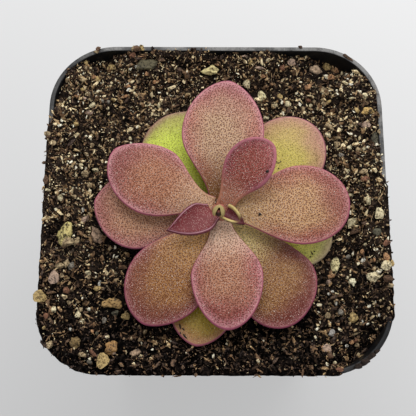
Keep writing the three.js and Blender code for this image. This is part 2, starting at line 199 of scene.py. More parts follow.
camera = bpy.data.objects.new("camera", bpy.data.cameras.new("camera"))
camera.data.lens = CAMERA_LENS
camera.data.clip_start = CAMERA_NEAR
camera.location = CAMERA_TARGET + CAMERA_DISTANCE * Vector((
    math.sin(CAMERA_TURN) * math.cos(CAMERA_ELEVATION),
    -math.cos(CAMERA_TURN) * math.cos(CAMERA_ELEVATION), math.sin(CAMERA_ELEVATION)))
camera.rotation_euler = (math.pi / 2 - CAMERA_ELEVATION, 0, CAMERA_TURN)
scene.collection.objects.link(camera)
scene.camera = camera

window = bpy.data.objects.new("window", bpy.data.lights.new("window", "AREA"))
window.data.size = WINDOW_SIZE
window.data.energy = WINDOW_POWER
window.location = WINDOW_PLACE
window.rotation_euler = (-Vector(WINDOW_PLACE)).to_track_quat("-Z", "Y").to_euler()
scene.collection.objects.link(window)

table_finish = start_finish("matt table top")
back_share = Wire.node("ShaderNodeMapRange", None, {
    0: coordinate("X") * GLOW_WAY["X"] + coordinate("Y") * GLOW_WAY["Y"],
    1: GLOW_REACH[0], 2: GLOW_REACH[1]})
end_finish({"Base Color": TABLE_COLOUR, "Roughness": 0.7, "Specular IOR Level": 0.2,
            "Emission Color": Wire.mix(*PAINTED_TABLE_GLOW, back_share), "Emission Strength": 1.0})
bpy.ops.mesh.primitive_plane_add(size=TABLE_SIZE)
table = bpy.context.object
table.name = "table_top"
table.data.materials.append(table_finish)

# ---------------------------------------------------------------- the pot
# A square nursery pot of black polypropylene, moulded in one shot: thin tapered walls, a
# collar that steps out below the rim, round corners, and four drain holes in the floor.

POT_WIDTH, POT_HEIGHT, POT_BASE_WIDTH = 76.0, 70.0, 55.4
RIM_CORNER, BASE_CORNER = 15.0, 9.0
WALL, POT_FLOOR = 1.1, 1.5
COLLAR_BOTTOM, COLLAR_STEP = 61.0, 0.7
EDGE_BREAK = 0.3                 # radius of the rim's and the foot's edges, the foot's twice that
DRAIN_RADIUS, DRAIN_OFFSET = 3.0, 17.0
TAPER = (POT_WIDTH / 2 - COLLAR_STEP - POT_BASE_WIDTH / 2) / (POT_HEIGHT - EDGE_BREAK)
CORNER_STEPS, SIDE_STEPS, HOLE_STEPS = 18, 12, 36
INNER_RINGS = 10                 # of the wall's section, the rings that face the peat
SHARP_EDGE = math.radians(40)
PLASTIC, DUST_AND_SHEEN_GREY, SCUFFED = (15, 16, 18), (156, 154, 151), (58, 58, 60)
# The rim's pale grey, more to the right, to the back and on its top, is dust and a painted sheen of the
# light from behind.
RIM_DUST_AND_SHEEN_SPAN = {"X": (-34, -20), "Y": (-26, -12), "Z": (69.2, 69.9)}
MOST_DUST_AND_SHEEN = 0.7


def unit(angle):
    """The level direction at this angle from X."""
    return Vector((math.cos(angle), math.sin(angle), 0))


def beside(way):
    """The level direction a quarter turn on."""
    return Vector((-way.y, way.x, 0))


def wall_half(z, on_collar=True):
    """Half the width of the pot, outside, at a height."""
    return POT_BASE_WIDTH / 2 + TAPER * z + (COLLAR_STEP if on_collar else 0)


def wall_ring(z, on_collar, inset):
    """A square with round corners that follows the pot's wall at a distance inside it."""
    half = wall_half(z, on_collar) - inset
    radius = BASE_CORNER + (RIM_CORNER - BASE_CORNER) * z / POT_HEIGHT - inset
    ring = []
    for corner in range(4):
        middle = math.radians(45 + 90 * corner)
        hub = Vector((math.copysign(half - radius, math.cos(middle)),
                      math.copysign(half - radius, math.sin(middle)), z))
        for step in range(CORNER_STEPS + 1):
            angle = middle + (step / CORNER_STEPS - 0.5) * math.pi / 2
            ring.append(hub + radius * unit(angle))
        along = beside(unit(angle))
        for step in range(1, SIDE_STEPS):
            ring.append(ring[-step] + along * 2 * (half - radius) * step / SIDE_STEPS)
    return ring


def hand_in(part, slot, *nodes):
    """Fixes a finished piece to the pot and plant's one body."""
    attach(part, "root")
    if nodes:
        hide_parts(*nodes)


def new_part(name, mesh, finish):
    part = bpy.data.objects.new(name, mesh)
    if finish:
        mesh.materials.append(finish)
    scene.collection.objects.link(part)
    return part


def pot_rings():
    """The wall's section, from the outer foot over the rim to the inner floor."""
    foot, quarter = 2 * EDGE_BREAK, [math.radians(a) for a in (0, 18, 36, 54, 72, 90)]
    rings = [wall_ring(foot - foot * math.cos(a), False, foot - foot * math.sin(a)) for a in quarter]
    rings += [wall_ring(z, False, 0) for z in (4, 12, 24, 36, 48, 56, 60.4, COLLAR_BOTTOM - 0.12)]
    rings += [wall_ring(COLLAR_BOTTOM + rise, True, inset) for rise, inset in (
        (-0.1, COLLAR_STEP - 0.12), (-0.06, 0.3), (0, 0.1), (0.12, 0.02), (0.3, 0))]
    rings += [wall_ring(z, True, 0) for z in (63, 66, 68.5)]
    lip, edge = POT_HEIGHT - EDGE_BREAK, EDGE_BREAK
    rings += [wall_ring(lip + edge * math.sin(a), True, edge - edge * math.cos(a)) for a in quarter]
    rings += [wall_ring(lip + edge * math.cos(a), True, WALL - edge + edge * math.sin(a)) for a in quarter]
    step = COLLAR_BOTTOM + WALL
    rings += [wall_ring(z, True, WALL) for z in (68.5, 65, step + edge)]
    rings += [wall_ring(z, False, WALL) for z in (step - edge, 40, 20, POT_FLOOR)]
    return rings


def circle(x, y, z, radius, steps):
    turns = [2 * math.pi * k / steps for k in range(steps)]
    return [Vector((x + radius * math.cos(t), y + radius * math.sin(t), z)) for t in turns]


def skin(mesh, lower, upper):
    """Quads between two closed loops of as many vertices."""
    for i in range(len(lower)):
        j = (i + 1) % len(lower)
        mesh.faces.new((lower[i], lower[j], upper[j], upper[i]))


def store(mesh, name, values):
    """Keeps one number for each vertex, for the trees and the finishes to read."""
    kept = mesh.attributes.new(name, "FLOAT", "POINT")
    kept.data.foreach_set("value", np.asarray(values, np.float32))


def close_mesh(work, name, smooth=True):
    """Ends the work on a closed shape, turns its faces outwards and gives it as a mesh."""
    bmesh.ops.recalc_face_normals(work, faces=work.faces)
    mesh = bpy.data.meshes.new(name)
    work.to_mesh(mesh)
    work.free()
    if smooth:
        mesh.shade_smooth()
    return mesh


def make_pot():
    work = bmesh.new()
    loops = [[work.verts.new(p * MM) for p in ring] for ring in pot_rings()]
    for lower, upper in zip(loops, loops[1:]):
        skin(work, lower, upper)
    outlines = {0.0: [loops[0]], POT_FLOOR: [loops[-1]]}
    for x in (-DRAIN_OFFSET, DRAIN_OFFSET):
        for y in (-DRAIN_OFFSET, DRAIN_OFFSET):
            hole = []
            for z in outlines:
                points = circle(x, y, z, DRAIN_RADIUS, HOLE_STEPS)
                hole.append([work.verts.new(p * MM) for p in points])
                outlines[z].append(hole[-1])
            skin(work, *hole)
    for outline in outlines.values():
        edges = []
        for loop in outline:
            for a, b in zip(loop, loop[1:] + loop[:1]):
                edges.append(work.edges.get((a, b)) or work.edges.new((a, b)))
        bmesh.ops.triangle_fill(work, use_beauty=True, edges=edges)
    mesh = close_mesh(work, "nursery_pot")
    mesh.set_sharp_from_angle(angle=SHARP_EDGE)
    outside = np.arange(len(mesh.vertices)) < (len(loops) - INNER_RINGS) * len(loops[0])
    store(mesh, "outside", outside)
    return mesh


def stretched(where, scale, turn=(0, 0, 0)):
    return Wire.node("ShaderNodeMapping", None, {"Vector": where, "Rotation": turn, "Scale": scale})


def cloud(where, per_mm, detail=2.0, roughness=0.5):
    """Soft noise, 0 to 1, with about this many blots to a millimetre."""
    return Wire.node("ShaderNodeTexNoise", None, {
        "Vector": where, "Scale": per_mm / MM, "Detail": detail, "Roughness": roughness}, "Fac")


def attribute(name):
    return Wire.node("ShaderNodeAttribute", {"attribute_name": name}, output="Fac")


def relief(height, depth, strength=1.0):
    """A bump of this depth in millimetres."""
    return Wire.node("ShaderNodeBump", None, {
        "Height": height, "Distance": depth * MM, "Strength": strength}, "Normal")


plastic_finish = start_finish("black polypropylene")
where = place()
streaks = cloud(stretched(where, (1, 1, 0.08)), 0.9, 5, 0.65)
smears = cloud(where, 0.16, 6, 0.6)
scuffs = cloud(stretched(where, (1, 0.06, 1), (0.3, 0.5, 0.2)), 1.6, 3).between(0.62, 0.7)
# On the rim the pale grey is dust together with a painted sheen of the light from behind; on the walls it
# is dust alone.
rim_x, rim_y, rim_z = (coordinate(axis).between(*RIM_DUST_AND_SHEEN_SPAN[axis]) for axis in "XYZ")
rim_dust_and_sheen = rim_z * (0.4 + 0.9 * smears.between(0.4, 0.6)) * rim_y * (0.2 + 0.8 * rim_x)
wall_dust = smears.between(0.4, 0.8) * 0.1 + streaks.between(0.5, 0.85) * 0.12
powder = cloud(where, 2.4, 5, 0.75).between(0.35, 0.65)
dust_and_sheen_share = (rim_dust_and_sheen * 0.75 + wall_dust) * (0.5 + 0.5 * powder) * attribute("outside")
dust_and_sheen_share = Wire.maths("MINIMUM", dust_and_sheen_share, MOST_DUST_AND_SHEEN)
end_finish({
    "Base Color": Wire.mix(Wire.mix(PLASTIC, DUST_AND_SHEEN_GREY, dust_and_sheen_share), SCUFFED, scuffs * 0.35),
    "Roughness": 0.36 + 0.3 * dust_and_sheen_share + 0.12 * smears + 0.12 * scuffs, "Specular IOR Level": 0.2,
    "Normal": relief(cloud(where, 6.0, 2) * 0.5 + streaks * 0.4 + scuffs * 0.3, 0.06, 0.6)})
pot = new_part("nursery_pot", make_pot(), plastic_finish)
hand_in(pot, "pot_plastic", "pot")

# ---------------------------------------------------------------- the peat
# Damp dark peat pressed into the pot by hand. It heaps up against the wall and lies over the
# rim at the front and sides, and it leaves hollows in three corners.

PEAT_INSET = WALL + 0.35         # the pressed block keeps clear of the wall
PEAT_LEVEL, PEAT_RISE, PEAT_RISE_FROM = 65.7, 2.7, 0.78
PEAT_FORMS = (                   # heaps and hollows: place, reach along X and along Y, height
    (-38, -6, 8, 24, 1.9), (-8, -38, 26, 7, 1.8), (38, -2, 6, 22, 1.6), (-5, 38, 16, 6, 1.6),
    (-33, 26, 7, 9, 1.2), (35, 24, 6, 9, 1.2), (-25.5, 34.5, 3.6, 3, -2.6), (28, 34, 6, 4.5, -3.4),
    (30, -30, 8, 7, -3.2), (-17, 38.5, 6, 2, 1.6), (-35.5, 25, 2, 5, -1.8))
PEAT_GRID = 205                  # cells along each side of the surface
PEAT_WAVES = ((4.8, 1.1), (2.0, 1.0), (0.9, 0.5), (0.45, 0.2))   # how long, how high
PEAT_BOTTOM = 1.9
PEAT_SIDE = ((0, 67.0), (0, 62.6), (0.7, 61.5), (0.7, 30.0), (0.8, PEAT_BOTTOM))   # step in, height
SIDE_DROP = 1.6                  # the side begins at least this far under the surface
SPILL_RINGS = (1.15, 0.8, 0.45, 0.12, -0.08)   # insets of the crust on the rim
RING_DROP, RING_START = 0.25, 0.1   # where the rim is clean, each ring lies lower than the last
EDGE_WAVES, EDGE_ROUGHNESS, EDGE_FRAY = ((2.2, 0.5), (0.9, 0.3)), 0.5, 0.3
TOUCH = WALL + 0.03              # where the rim is clean, crumbs fill the gap up to the wall
SPILL_EDGE, SPILL_SLOPE, SPILL_BLUR = 14, 7, 5   # how far back the peat lies over the rim
OPEN_CORNER = (60, 64)           # x - y, from where the front right corner's rim is clean
LUMP_HEIGHT = 0.16
CRUST_RISE, CRUST_LOWEST = 0.35, 69.9
SEAT_REACH = (1.0, 1.8)          # the peat dips round a large grain, in the grain's own reach
PEAT_TOP_FROM = 60
OPEN_SKY = 9                     # more headroom than this under the leaves makes no difference
COVER_UNDER_LEAF, COVER_ON_RIM = 0.45, 0.4   # shares of the crumb that lies in the open
# The peat is painted lighter behind, at the sides, most at the right, and on its heaps, where more light
# falls.
LIT_BEHIND, LIT_SIDES, LIT_RIGHT, LIT_HEAPS = (-32, 16), 0.25, 0.2, 0.4
# Most of the ground is painted nearly black, darker than the damp peat, as painted shade in the gaps
# between the crumbs.
PEAT_AND_GAP_SHADE_STOPS = ((0.38, (2, 2, 2)), (0.5, (14, 12, 11)), (0.62, (44, 36, 31)), (0.77, (92, 75, 62)))


def smooth_step(value, low, high):
    t = np.clip((value - low) / (high - low), 0, 1)
    return t * t * (3 - 2 * t)


def peat_height(x, y):
    """The pressed surface, without its crumb."""
    half = wall_half(PEAT_LEVEL) - PEAT_INSET
    climb = smooth_step(((x / half) ** 4 + (y / half) ** 4) ** 0.25, PEAT_RISE_FROM, 1)
    z = PEAT_LEVEL + PEAT_RISE * climb
    for form_x, form_y, reach_x, reach_y, rise in PEAT_FORMS:
        z = z + rise * np.exp(-((x - form_x) / reach_x) ** 2 - ((y - form_y) / reach_y) ** 2)
    lumps = (np.sin(0.9 * x + 0.4 * y + 1.3) + np.sin(0.5 * y - 0.8 * x + 0.4)
             + np.sin(1.1 * y + 0.3 * x + 2.1))
    return z + LUMP_HEIGHT * lumps * (0.35 + 0.65 * climb)


def crumble(x, y, waves, shift):
    """Sums noise of several wavelengths at each place."""
    total = np.zeros(len(x))
    for size, rise in waves:
        total += rise * np.array([
            noise.noise(Vector((a / size + shift, b / size - shift, shift))) for a, b in zip(x, y)])
    return total


def spilled(x, y):
    """1 where peat lies over the rim, 0 where the rim is clean."""
    edge = SPILL_EDGE - SPILL_SLOPE * x / (POT_WIDTH / 2)
    over = smooth_step(-y, -edge - SPILL_BLUR, -edge + SPILL_BLUR)
    return over * (1 - smooth_step(x - y, *OPEN_CORNER))


half = wall_half(PEAT_LEVEL) - PEAT_INSET
corner = (RIM_CORNER - 0.3 - PEAT_INSET) / half
steps = np.linspace(-1, 1, PEAT_GRID + 1)
grid_u, grid_v = np.meshgrid(steps, steps)
grid_u, grid_v = grid_u.ravel(), grid_v.ravel()
ring_at = np.maximum(np.abs(grid_u), np.abs(grid_v))
safe = np.where(ring_at == 0, 1, ring_at)
minor = np.minimum(np.abs(grid_u), np.abs(grid_v)) / safe
turn = np.clip((minor - (1 - corner)) / corner, 0, 1) * math.pi / 4
major_part = 1 - corner + corner * np.cos(turn)
minor_part = np.where(minor > 1 - corner, 1 - corner + corner * np.sin(turn), minor)
wide = np.abs(grid_u) >= np.abs(grid_v)
x = np.sign(grid_u) * ring_at * half * np.where(wide, major_part, minor_part)
y = np.sign(grid_v) * ring_at * half * np.where(wide, minor_part, major_part)
seats = []
for node in frame["nodes"]:
    if node.split("_")[0] in ("pumice", "perlite", "bark"):
        low, high = (np.array(c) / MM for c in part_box(node))
        seats.append(((low + high) / 2, (high - low) / 2))
z, calm = peat_height(x, y), np.ones(len(x))
for middle, reach in seats:
    away = np.hypot((x - middle[0]) / reach[0], (y - middle[1]) / reach[1])
    away = smooth_step(away, *SEAT_REACH)
    z = z - (1 - away) * np.maximum(0, z - middle[2])
    calm *= away
z += crumble(x, y, PEAT_WAVES, 3.7) * calm
peat_points = [np.stack([x, y, z], 1)]

side = PEAT_GRID + 1
spots = np.arange(side * side).reshape(side, side)
border = [*spots[0], *spots[1:, -1], *spots[-1, -2::-1], *spots[-2:0:-1, 0]]
quads = np.stack([spots[:-1, :-1], spots[:-1, 1:], spots[1:, 1:], spots[1:, :-1]], -1)
quads = quads.reshape(-1, 4).tolist()
edge_points = peat_points[0][border]
spill = spilled(edge_points[:, 0], edge_points[:, 1])
edge_noise = crumble(edge_points[:, 0], edge_points[:, 1], EDGE_WAVES, 9.1)
below = border
count = side * side


def at_inset(inset, z):
    """The border's points moved out or in along the wall to another inset and height."""
    grown = (half + PEAT_INSET - inset + TAPER * (z - PEAT_LEVEL)) / half
    flat = edge_points[:, :2] * np.reshape(grown, (-1, 1))
    return np.column_stack([flat, np.broadcast_to(z, len(flat))])


for number, inset in enumerate(SPILL_RINGS):
    innermost = number == len(SPILL_RINGS) - 1
    crust = POT_HEIGHT + CRUST_RISE + EDGE_ROUGHNESS * edge_noise - CRUST_RISE * innermost
    lift = edge_points[:, 2] * (1 - spill) + np.maximum(crust, CRUST_LOWEST) * spill
    moved = TOUCH + (inset - TOUCH) * spill - EDGE_FRAY * edge_noise * spill * (number > 2)
    peat_points.append(at_inset(moved, lift - (1 - spill) * (RING_DROP * number - RING_START)))
for step_in, z in PEAT_SIDE:
    peat_points.append(at_inset(PEAT_INSET + step_in, np.minimum(z, edge_points[:, 2] - SIDE_DROP)))
for ring in peat_points[1:]:
    above = list(range(count, count + len(border)))
    quads += zip(below, above, above[1:] + above[:1], below[1:] + below[:1])
    below, count = above, count + len(border)
peat_points.append(np.array([[0, 0, PEAT_BOTTOM]]))
quads += [(a, count, b) for a, b in zip(below, below[1:] + below[:1])]


def points_mesh(name, points, faces):
    """A closed mesh from points in millimetres."""
    rough = bpy.data.meshes.new("rough")
    rough.from_pydata((np.asarray(points) * MM).tolist(), [], faces)
    work = bmesh.new()
    work.from_mesh(rough)
    bpy.data.meshes.remove(rough)
    return close_mesh(work, name)


def surface(*meshes):
    """These meshes as one tree to cast rays at, in millimetres."""
    points, faces = [], []
    for mesh in meshes:
        first = len(points)
        points += [v.co / MM for v in mesh.vertices]
        faces += [[first + i for i in face.vertices] for face in mesh.polygons]
    return BVHTree.FromPolygons(points, faces)


peat_finish = start_finish("damp peat")
where = place()
crumb = cloud(where, 1.4, 6, 0.7)
strands = cloud(stretched(where, (1, 0.25, 1), (0, 0, 0.6)), 3.0, 3)
# The ground is painted a little lighter where 'back' is high, as light from behind.
tone = 0.6 * crumb + 0.2 * cloud(where, 0.35, 4, 0.6) + 0.15 * strands + 0.1 * attribute("back")
end_finish({"Base Color": Wire.ramp(PEAT_AND_GAP_SHADE_STOPS, tone), "Roughness": 0.9, "Specular IOR Level": 0.0,
            "Normal": relief(crumb + 0.4 * strands, 0.35)})
peat_mesh = points_mesh("peat_ground", np.concatenate(peat_points), quads)
leaf_roof = surface(*[node.data for name, node in frame["nodes"].items() if name.startswith("leaf_")])
headroom = []
for vertex in peat_mesh.vertices:
    hit = leaf_roof.ray_cast(vertex.co / MM, Vector((0, 0, 1)))
    headroom.append(min(hit[3], OPEN_SKY) if hit[0] is not None else OPEN_SKY)
store(peat_mesh, "headroom", headroom)
ground = np.array([v.co for v in peat_mesh.vertices]) / MM
order = np.arange(len(ground))
on_top = (ground[:, 2] > PEAT_TOP_FROM) & (order < side * side + len(border) * (len(SPILL_RINGS) - 1))
uncovered = np.where(np.array(headroom) < OPEN_SKY - 1, COVER_UNDER_LEAF, 1.0)
uncovered *= np.where(on_top, 1.0, 0.0)
uncovered *= np.where(order < side * side + len(border) * 2, 1.0, COVER_ON_RIM)
heaped = np.where(order < side * side, ground[:, 2] - peat_height(ground[:, 0], ground[:, 1]), 0)
lit_towards = ground[:, 1] + LIT_SIDES * np.abs(ground[:, 0]) + LIT_RIGHT * np.maximum(ground[:, 0], 0)
store(peat_mesh, "back", smooth_step(lit_towards, *LIT_BEHIND) + LIT_HEAPS * np.clip(heaped, -1, 1))
peat = new_part("peat_ground", peat_mesh, peat_finish)
hand_in(peat, "peat", "soil")

# ---------------------------------------------------------------- the small stones
# Chips of pumice, baked clay, sandstone and quartz grit, 0.5 to 4 mm across, that show on top
# of the peat. Each lies half sunk where it fell, and the crumbs of peat keep clear of it.

VIEW = 416                       # the camera's picture, in its own small squares
SQUARES_PER_MM = 4.5
STONE_COLOURS = {
    "dark": (42, 33, 28), "brown": (104, 80, 62), "rust": (140, 98, 76), "orange": (192, 144, 104),
    "gold": (196, 168, 112), "tan": (180, 156, 120), "cream": (232, 216, 172),
    "white": (254, 250, 234), "pink": (190, 160, 138), "grey": (158, 150, 136), "slate": (106, 102, 84)}
STONE_DIRT = (30, 23, 18)
STONE_RISE, STONE_CLEARANCE = 0.3, 0.36   # how far it stands up, and what it keeps clear, in its size
STONE_LIFT = 0.08
STONE_FLATNESS = 0.7             # its height in its smaller width, and one square more
STONE_SWELL = 1.1                # a chip loses about this much to its flat faces
CHIP_BUMPS = ((1.4, 0.7), (4, 0.3))   # how many to its radius, how high
CHIP_SIZE, CHIP_ROUGHNESS, CHIP_CUTS, CHIP_FLATNESS = 1.06, 0.55, (0.5, 0.95), 0.95
STONE_EDGE = math.radians(32)
SEAT_CLEARANCE = 1.05
STEEP, STEEP_STEP = 0.3, Vector((0, -0.6, 0.2))   # off a steep face a thing drops to its foot
STONES = (  # across and down in the camera's picture, width and height there, colour, tilt
    # front left
    (39.5, 297.5, 11, 13, "gold"), (53.7, 310, 5, 5.5, "cream"), (65.2, 297.6, 4.5, 5, "tan"),
    (68.4, 302.5, 4, 5.5, "tan"), (66, 291, 6, 7, "rust"), (45.3, 316, 6, 5, "rust"),
    (44.5, 327.8, 4, 3.5, "gold"), (49.9, 344.7, 6, 8, "tan"), (77.8, 315.2, 5.5, 5.5, "cream"),
    (83.2, 320.9, 4.5, 5, "cream"), (81.3, 309.8, 3.5, 4.5, "tan"), (70.9, 329.3, 3, 3, "white"),
    (104.2, 320.9, 5.5, 5.5, "grey"), (115.3, 313.3, 7, 6, "slate"), (126.4, 316.7, 8, 7, "gold"),
    (102.7, 361.9, 12, 13, "gold"), (89.3, 362.3, 5, 5, "grey"), (92.4, 352.7, 8, 4, "rust", -50),
    (92.4, 330.9, 3.5, 3.5, "orange"), (97, 333.5, 4, 3, "slate"), (99.6, 283, 3, 5, "white"),
    (97.3, 288.4, 7, 5, "gold", 10), (88.1, 273, 6, 4, "cream"), (88.1, 277.7, 5, 4, "tan"),
    (53.7, 276.9, 9, 12, "pink"), (62.1, 275.7, 4, 5, "tan"), (82.8, 355, 7, 6, "tan"),
    (114.2, 353, 3, 4, "pink"),
    # left
    (92.9, 104.9, 8, 4, "cream", 45), (76.1, 123.9, 6, 5, "gold"), (93.4, 133, 4, 4, "tan"),
    (80.9, 166.1, 6, 5, "cream"), (85.3, 174.3, 7, 8, "tan"), (95.6, 170.5, 7, 5, "cream"),
    (60.9, 197.6, 5.5, 6, "cream"), (74.4, 196.5, 4, 4, "tan"), (87.4, 192.1, 4, 3.5, "tan"),
    (89.6, 185.1, 5, 6, "tan"), (70.1, 192.1, 2.5, 4, "orange"), (83.1, 210, 2.5, 6, "white"),
    (84.2, 220.9, 16, 6, "pink", 50), (77.1, 242, 9, 4, "tan", 70), (66, 243, 13, 10, "tan", 20),
    (92.3, 247.4, 3, 3, "gold"), (47.9, 190, 5, 3, "cream"), (46.3, 180.2, 5, 10, "brown"),
    (52.8, 143.4, 7, 6, "tan"), (56, 149.9, 5, 3, "tan"), (65.8, 263.7, 6, 10, "tan"),
    (71.2, 265.9, 6, 7, "grey"), (59.3, 265.9, 8, 7, "tan"),
    # right
    (373, 276.5, 11, 10, "cream"), (379.2, 214.7, 9.5, 11, "cream"), (368, 201, 6.5, 8, "cream"),
    (362.3, 208.1, 5, 3, "cream"), (351, 195.3, 5, 5, "cream"), (350.7, 223, 14, 7, "cream", 55),
    (351, 212, 3, 4, "tan"), (355.6, 231.3, 14, 5, "brown", 30), (362.2, 252, 6, 5, "orange"),
    (364, 261.1, 6, 5, "white"), (374.3, 259.9, 3.5, 4, "orange"), (386.3, 266, 9, 10, "cream"),
    (386.3, 257, 6, 8, "orange"), (392, 263.6, 4, 6, "gold"), (386.3, 243, 6, 7, "rust"),
    (390, 286, 6, 5, "tan"), (389.6, 278.5, 9, 8, "brown"), (330.8, 276.5, 8, 4, "orange", 15),
    (328.3, 281.9, 4, 5, "pink"), (348.2, 257, 5, 5, "grey"), (365.2, 244.6, 3.5, 3.5, "cream"),
    (348.2, 171.7, 4, 5, "cream"), (363, 172, 8, 6, "tan"), (365.2, 179.1, 8, 5, "rust"),
    (354.8, 179.1, 3, 3, "cream"), (374.3, 268.6, 4, 5, "tan"), (378, 232, 8, 7, "slate"),
    (328.7, 293.9, 2.5, 2.5, "white"), (332.4, 291.8, 3, 2, "white"), (388.9, 308, 3, 4, "tan"),
    # front right
    (327.2, 315.8, 5.5, 6, "tan"), (340.1, 312.6, 5.5, 6, "grey"), (353.9, 319, 9, 10, "gold"),
    (362.5, 322.1, 2.5, 4.5, "white"), (386, 318.7, 5, 4.5, "tan"), (378.8, 315.5, 3, 3, "white"),
    (329.8, 303.7, 5, 2.5, "tan"), (336.1, 303.4, 2.5, 4, "white"), (355.9, 340.8, 4.5, 5, "rust"),
    (351, 342.2, 5, 4, "orange"), (356.7, 345.4, 4, 4, "tan"), (327.5, 349.4, 10, 9, "pink"),
    (322.9, 347.6, 4, 3, "orange"), (329.8, 356.3, 7, 5, "brown"), (333.5, 355.1, 2, 4, "cream"),
    (334.9, 363.7, 5, 4, "cream"), (339.5, 369.7, 7, 4, "rust"), (346.7, 346.2, 3, 3, "white"),
    (356, 334, 8, 2, "tan", 20), (358, 367, 9, 7, "dark", 20), (365, 362, 9, 6, "dark", 35),
    (371, 356.5, 8, 5, "dark", 40), (377, 351.5, 7, 4, "dark", 45),
    # back left
    (85.8, 59.8, 5, 6, "gold"), (86.5, 68.6, 5, 5, "tan"), (111.4, 68.6, 8, 7, "gold"),
    (98.4, 80.2, 6, 7, "gold"), (93.5, 77.7, 5, 4, "orange"), (83, 80.9, 5, 5, "tan"),
    (67.2, 80.9, 4, 4, "tan"), (88.2, 93.9, 6, 7, "tan"), (82.3, 89.6, 5, 4, "gold"),
    (69.6, 98.8, 3.5, 3.5, "cream"), (78, 95.6, 6, 4, "orange"), (84.4, 99.1, 4, 3, "pink"),
    (128.6, 90, 6, 3, "white", 25), (127.9, 87, 5, 4, "orange"), (124.7, 96.7, 8, 3, "orange", 20),
    (134.9, 94.2, 3, 4, "cream"), (137.4, 67.5, 4, 4, "white"), (146.8, 74.6, 4, 5, "orange"),
    (141.9, 57.7, 5, 4, "orange"), (132.8, 55.6, 6, 6, "rust"), (137.7, 81.9, 4, 4, "tan"),
    (155.3, 82.3, 7, 3.5, "orange", 10), (150.4, 106.1, 7, 3, "cream"), (159.1, 106.1, 3, 6, "cream"),
    (113.2, 100.2, 5, 4, "gold"), (108.2, 101.9, 4, 5, "grey"), (102.3, 101.2, 3.5, 3.5, "grey"),
    (107.9, 108.9, 3, 4, "cream"), (89.3, 112.5, 7, 6, "pink"), (130.4, 138.8, 4, 3.5, "cream"),
    (111.8, 140.5, 4, 3.5, "cream"), (86.8, 154.6, 4, 6, "tan"), (125.4, 141.9, 6, 2, "tan"),
    (92.1, 145.4, 4, 4, "tan"), (97, 45, 5, 4, "brown"), (139, 45.5, 8, 4, "rust"),
    # back right
    (292, 63.3, 9, 7, "pink"), (326.5, 66.8, 8, 12, "gold"), (335.3, 71, 7, 7, "orange"),
    (330.4, 78, 8, 6, "orange"), (307.5, 87.5, 7, 6.5, "orange"), (329.3, 101.6, 10, 3.5, "gold", 35),
    (325, 92, 9, 8, "tan"), (324.4, 104.7, 5, 6, "tan"), (323, 99.5, 4, 4, "cream"),
    (307.9, 101.2, 6, 5, "rust"), (313.9, 102.3, 4, 4, "tan"), (310.4, 106.1, 5, 4, "cream"),
    (303, 109, 4, 5, "tan"), (357, 111, 5.5, 5.5, "gold"), (364.4, 96.3, 6, 5, "cream"),
    (360.2, 78, 5, 5, "tan"), (354.2, 71.8, 4, 4, "tan"), (350.4, 85.4, 6, 3, "white"),
    (342.3, 87.5, 2, 2, "white"), (347.5, 79.8, 2.5, 2.5, "white"), (351.8, 98.4, 5, 2.5, "cream"),
    (354.9, 124.4, 6, 5.5, "tan"), (350.4, 125.4, 3, 3, "cream"), (329.3, 127.2, 10, 6, "tan", -40),
    (374.2, 137.7, 8, 19, "slate", 10), (366.5, 125.8, 8, 9, "pink"), (327.9, 135.6, 6, 6, "cream"),
    (338.4, 137.7, 5, 3.5, "tan"), (337, 144.7, 6, 9, "tan"), (349.6, 147.9, 5, 4, "cream"),
    (358, 149.6, 4.5, 4, "tan"), (363.7, 148.9, 4, 4, "cream"), (334.9, 156.3, 5, 3, "tan"),
    (378.4, 154.6, 3, 3, "cream"), (340.9, 155.3, 5, 4, "grey"), (379, 132, 3, 6, "tan"),
    (247, 84, 9, 10, "cream", 30), (265.5, 118.5, 6, 6, "cream"), (287.5, 105, 6, 7, "cream"),
    (279.5, 97, 6, 5, "gold"), (263, 76.3, 4.5, 5, "orange"), (250.5, 62.8, 4.5, 5, "gold"),
    (244.5, 62.5, 4, 4.5, "tan"), (260.5, 68.5, 9, 4.5, "pink"), (282.5, 68.5, 6, 5.5, "rust"),
    (244.5, 53.5, 7, 3, "pink"), (347, 57, 12, 3.5, "brown", -38), (258.5, 45.5, 7, 4, "tan"),
    (300, 47.5, 4, 3, "brown"), (98, 49.5, 5.5, 6, "brown", 20), (96.5, 52, 6, 3, "tan", -20),
    (137, 49.5, 10, 6, "brown", 12), (141.5, 48.5, 5, 6, "gold", 30), (133.5, 48.5, 4, 6, "tan", -40),
    (153, 48.5, 3, 4, "dark"), (48.5, 121, 6, 5, "brown", 10), (48, 134, 7, 5, "tan"),
    (47.5, 138, 6, 4, "brown", 20))


def under_view(carrier, across, down):
    """Where a carrier lies behind this spot of the camera's picture, or below its steep faces."""
    focal = CAMERA_LENS / CAMERA_SENSOR * VIEW
    way = Vector(((across - VIEW / 2) / focal, (VIEW / 2 - down) / focal, -1)).normalized()
    place, up, _, _ = carrier.ray_cast(camera.location / MM, camera.rotation_euler.to_matrix() @ way)
    if place is not None and up.z < STEEP:
        place = carrier.ray_cast(place + STEEP_STEP, Vector((0, 0, -1)))[0]
    return place


def chipped(points, random, cuts=8):
    """Turns a ball's points into a rough chip with a few flat faces."""
    shift = Vector((random.uniform(0, 40), 0, 0))
    bumps = [sum(noise.noise(Vector(q) * often + shift) * high for often, high in CHIP_BUMPS)
             for q in points]
    points = points * (CHIP_SIZE + CHIP_ROUGHNESS * np.array(bumps))[:, None]
    for _ in range(cuts):
        normal = random.normal(size=3)
        normal /= np.linalg.norm(normal)
        over = points @ normal - random.uniform(*CHIP_CUTS)
        points = points - np.where(over > 0, over, 0)[:, None] * normal * CHIP_FLATNESS
    return points


def cells(where, scale, dimensions="3D", randomness=1.0):
    """How far it is to the middle of the nearest of many cells, in their own measure."""
    return Wire.node("ShaderNodeTexVoronoi", {"voronoi_dimensions": dimensions}, {
        "Vector": where, "Scale": scale, "Randomness": randomness}, "Distance")


